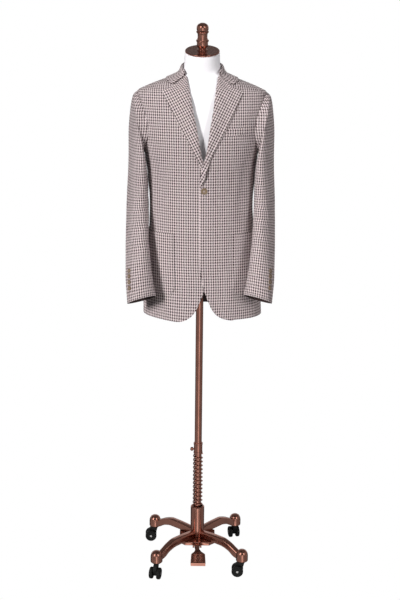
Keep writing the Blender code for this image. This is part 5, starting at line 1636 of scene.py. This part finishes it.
def ribTree():
    tree, given, keys = newTree(
        "pedalRibs", Int=("Count",), Vector=("From", "Step", "Tilt"), Float=("Long", "Thick"),
    )
    start = Field(tree)
    line = start.node("GeometryNodeMeshLine", {}, {
        "Count": given["Count"], "Start Location": given["From"], "Offset": given["Step"],
    })
    shape = {"Vertices": pedalShape["ribSides"], "Radius": 0.5, "Depth": 1.0}
    rib = start.node("GeometryNodeMeshCylinder", {}, shape)
    laid = start.node("GeometryNodeTransform", {}, {"Geometry": rib, "Rotation": (0.0, math.pi / 2, 0.0)})
    size = start.node("ShaderNodeCombineXYZ", {}, {0: given["Long"], 1: given["Thick"], 2: given["Thick"]})
    ribs = start.node("GeometryNodeInstanceOnPoints", {}, {
        "Points": line, "Instance": laid, "Rotation": given["Tilt"], "Scale": size,
    })
    endTree(tree, ribs, "bronze")
    return tree, keys


def makePedal():
    rows = [dict(zip(pedalShape["columns"], row)) for row in pedalShape["rows"]]
    rings = []
    for row in rows:
        half = row["tall"] / 2
        ring = roundedBox(row["halfWidth"], -half, half, pedalShape["topRound"], pedalShape["lowRound"], 4)
        rings.append([Vector((row["across"] + x, row["deep"], row["height"] + z)) for x, z in ring])
    pedal = lofted("footPedal", rings, "bronze")
    half = pedalShape["pinHalf"]
    pin = rodProfile(pedalShape["pinRadius"], -half, half)
    joined(pedal, turned("trunnion", pin, pedalShape["pinAround"], "bronze", pedalPin()))
    fitted(sharpenOver(pedal, 35), "pedal", "bronze", "pedal")
    first, last = (rows[i] for i in pedalShape["treadRows"])
    count = pedalShape["ribs"]
    step = Vector((0.0, (last["deep"] - first["deep"]) / count, (last["height"] - first["height"]) / count))
    begin = Vector((first["across"], first["deep"], first["height"] + first["tall"] / 2))
    begin += step * pedalShape["ribStart"]
    tree, keys = ribTree()
    values = {
        "Count": count, "From": begin[:], "Step": step[:], "Thick": pedalShape["ribWide"],
        "Long": 2 * first["halfWidth"] * pedalShape["ribLong"],
        "Tilt": (math.atan2(step.z, step.y) + math.pi, 0.0, 0.0),
    }
    ribs = grown("pedalRibs", bpy.data.meshes.new("pedalRibs"), tree, keys, values)
    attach(ribs, "pedal")


makeHub()
for word in legShape["turns"]:
    makeLeg(word)
makePlate()
makePedal()
print("hub, legs, plate and pedal made")


# castors
castor = {
    "turns": {"fr": 178.0, "br": 104.0, "bl": 182.0, "fl": -104.0}, "trail": 0.0150, "radius": 0.0205,
    "from": 0.0072, "to": 0.0190, "bore": 0.0033, "flatSides": 16, "plateRadius": 0.0130, "plateLow": 0.0505,
    "plateHigh": 0.0552, "stemRadius": 0.0050, "stemHigh": 0.0740, "stemSink": 0.001, "webHalf": 0.0066,
    "around": 48,
    "web": (
        (-0.0095, 0.0515), (0.0115, 0.0515), (0.0180, 0.0480), (0.0235, 0.0400), (0.0260, 0.0330),
        (0.0260, 0.0260), (0.0215, 0.0125), (0.0085, 0.0125), (-0.0060, 0.0370),
    ),
    "axleRadius": 0.0030, "headRadius": 0.0046, "headTall": 0.0014,
    # the tread's outline: in from the rim, then in from the face
    "treadInside": ((0.0030, 0.0), (0.0008, 0.0006), (0.0, 0.0022)),
    "treadOutside": (
        (0.0, 0.0030), (0.0006, 0.0014), (0.0020, 0.0004), (0.0042, 0.0), (0.0058, 0.0004), (0.0068, 0.0016),
        (0.0105, 0.0016), (0.0114, 0.0006),
    ),
    "hubStep": 0.0002, "plateAround": 40, "stemAround": 28, "webEdge": 0.0012, "holeAround": 24,
    "axleAround": 32, "axleCut": (-0.03, 0.03), "headRim": 0.4, "headFlat": 0.7,
}


def wheelProfile(out, radius):
    inside, outside, bore = out * castor["from"], out * castor["to"], castor["bore"]
    profile = [(bore, inside)]
    profile += [(radius - back, inside + out * step) for back, step in castor["treadInside"]]
    profile += [(radius - back, outside - out * step) for back, step in castor["treadOutside"]]
    return profile + [(bore, outside - out * castor["hubStep"])]


def makeCastor(word):
    swivel, reach = math.radians(legShape["turns"][word]), legShape["reach"]
    centre = Matrix.Translation((reach * math.cos(swivel), reach * math.sin(swivel), 0))
    place = centre @ spun(castor["turns"][word], "Z")
    low, high, gap = castor["plateLow"], castor["plateHigh"], coatForm["seamGap"]
    top = rodProfile(castor["plateRadius"], low, high)
    fork = turned("fork" + word.capitalize(), top, castor["plateAround"], "nylon", place)
    stem = rodProfile(castor["stemRadius"], low + castor["stemSink"], castor["stemHigh"])
    joined(fork, turned("stem", stem, castor["stemAround"], "nylon", place))
    web = prism("web", castor["web"], -castor["webHalf"], castor["webHalf"], "nylon", place @ spun(90, "X"))
    joined(fork, softened(web, castor["webEdge"]))
    tread = castor["radius"] * math.cos(math.pi / castor["flatSides"])
    axle = place @ Matrix.Translation((castor["trail"], 0, tread)) @ spun(90, "X")
    drilled(fork, "nylon", castor["axleRadius"] + gap, *castor["axleCut"], castor["holeAround"], axle)
    fitted(sharpenOver(fork, 35), "castor_" + word, "black_plastic", "fork_" + word)
    end = castor["to"] + gap
    head, shaft, tall = castor["headRadius"], castor["axleRadius"], castor["headTall"]
    rim, flat = end + tall * castor["headRim"], head * castor["headFlat"]
    half = ((shaft, end), (head, end), (head, rim), (flat, end + tall), (0.0, end + tall))
    profile = [(radius, -along) for radius, along in half[::-1]] + list(half)
    pin = turned("axle" + word.capitalize(), profile, castor["axleAround"], "steelPin", axle)
    fitted(sharpenOver(pin, 30), "wheels_" + word, "steel", "axle_" + word)
    for letter, out in (("a", -1.0), ("b", 1.0)):
        name = "wheel" + word.capitalize() + letter.upper()
        wheel = turned(name, wheelProfile(out, tread), castor["around"], "nylon", axle, ring=True)
        fitted(sharpenOver(wheel, 40), "wheels_" + word, "black_plastic", f"wheel_{word}_{letter}")


for word in castor["turns"]:
    makeCastor(word)
print("castors made")


# plain white stage and soft studio light, the key from the viewer's left
studio = {
    "floorHalf": 14.0, "floorWhite": 1.0, "floorBounce": 0.12, "sky": 0.035, "ground": 0.03,
    "roomLow": 0.06, "roomHigh": 0.18,
    "lamps": (
        ("keyLight", 3.55, -42.0, 20.0, 14.0), ("fillLight", 1.38, 50.0, 12.0, 14.0),
        ("frontLight", 0.28, 0.0, 12.0, 15.0), ("backLight", 2.7, 172.0, 15.0, 30.0),
    ),
    "windows": (
        (-42.0, 30.0, 0.17, 0.30, 3.6), (40.0, 30.0, 0.14, 0.28, 3.0), (4.0, -20.0, 0.15, 0.50, 1.2),
        (0.0, -20.0, 0.60, 0.55, 0.36), (80.0, -10.0, 0.60, 0.70, 0.20), (-75.0, -10.0, 0.50, 0.60, 0.28),
        (180.0, 13.0, 0.80, 0.27, 0.55),
    ),
}


def cleared(owner):
    owner.use_nodes = True
    owner.node_tree.nodes.clear()
    return owner.node_tree, Field(owner.node_tree)


def makeStage():
    half = studio["floorHalf"]
    corners = [(-half, -half, 0), (half, -half, 0), (half, half, 0), (-half, half, 0)]
    mesh = bpy.data.meshes.new("floor")
    mesh.from_pydata(corners, [], [(0, 1, 2, 3)])
    floor = bpy.data.objects.new("floor", mesh)
    scene.collection.objects.link(floor)
    material = bpy.data.materials.new("floorPaper")
    tree, start = cleared(material)
    seen = start.node("ShaderNodeLightPath", out="Is Camera Ray")
    glow = start.node("ShaderNodeEmission", {}, {"Color": colour(1, 1, 1), "Strength": studio["floorWhite"]})
    bounce = studio["floorBounce"]
    paper = start.node("ShaderNodeBsdfDiffuse", {}, {"Color": colour(bounce, bounce, bounce)})
    mixed = start.node("ShaderNodeMixShader", {}, {0: seen, 1: paper, 2: glow})
    tree.links.new(mixed.socket, tree.nodes.new("ShaderNodeOutputMaterial").inputs[0])
    mesh.materials.append(material)
    floor.visible_glossy = False


# a soft window that only polished things mirror
def windowShape(facing, turn, tip, wide, tall):
    place = (spun(turn, "Z") @ spun(-tip, "X")).to_3x3()
    axes = [(place @ Vector(axis))[:] for axis in ((1, 0, 0), (0, -1, 0), (0, 0, 1))]
    side, ahead, up = (
        facing.node("ShaderNodeVectorMath", {"operation": "DOT_PRODUCT"}, {0: facing, 1: axis}, "Value")
        for axis in axes
    )
    return (side.absolute() < wide) * (up.absolute() < tall) * (0.0 - ahead < 0.0)


def makeSky():
    world = bpy.data.worlds.new("studio")
    tree, start = cleared(world)
    seen = start.node("ShaderNodeLightPath", out="Is Camera Ray")
    mirrored = start.node("ShaderNodeLightPath", out="Is Glossy Ray")
    facing = start.node("ShaderNodeTexCoord", out="Generated")
    high = facing.axis("Z") * 0.5 + 0.5
    around = studio["ground"] + high * (studio["sky"] - studio["ground"])
    room = studio["roomLow"] + high * (studio["roomHigh"] - studio["roomLow"])
    for *shape, glow in studio["windows"]:
        room = room + glow * windowShape(facing, *shape)
    soft = start.node("ShaderNodeBackground", {}, {
        "Color": colour(1, 1, 1), "Strength": around + mirrored * (room - around),
    })
    white = start.node("ShaderNodeBackground", {}, {"Color": colour(1, 1, 1), "Strength": 1.0})
    mixed = start.node("ShaderNodeMixShader", {}, {0: seen, 1: soft, 2: white})
    tree.links.new(mixed.socket, tree.nodes.new("ShaderNodeOutputWorld").inputs[0])
    scene.world = world


def makeSun(name, strength, turn, high, soft):
    light = bpy.data.lights.new(name, "SUN")
    light.energy = strength
    light.angle = math.radians(soft)
    lamp = bpy.data.objects.new(name, light)
    lamp.visible_glossy = False
    scene.collection.objects.link(lamp)
    lamp.matrix_world = spun(turn, "Z") @ spun(90 - high, "X")


makeStage()
makeSky()
for lamp in studio["lamps"]:
    makeSun(*lamp)
scene.view_settings.view_transform = "Standard"
print("stage and lights set")
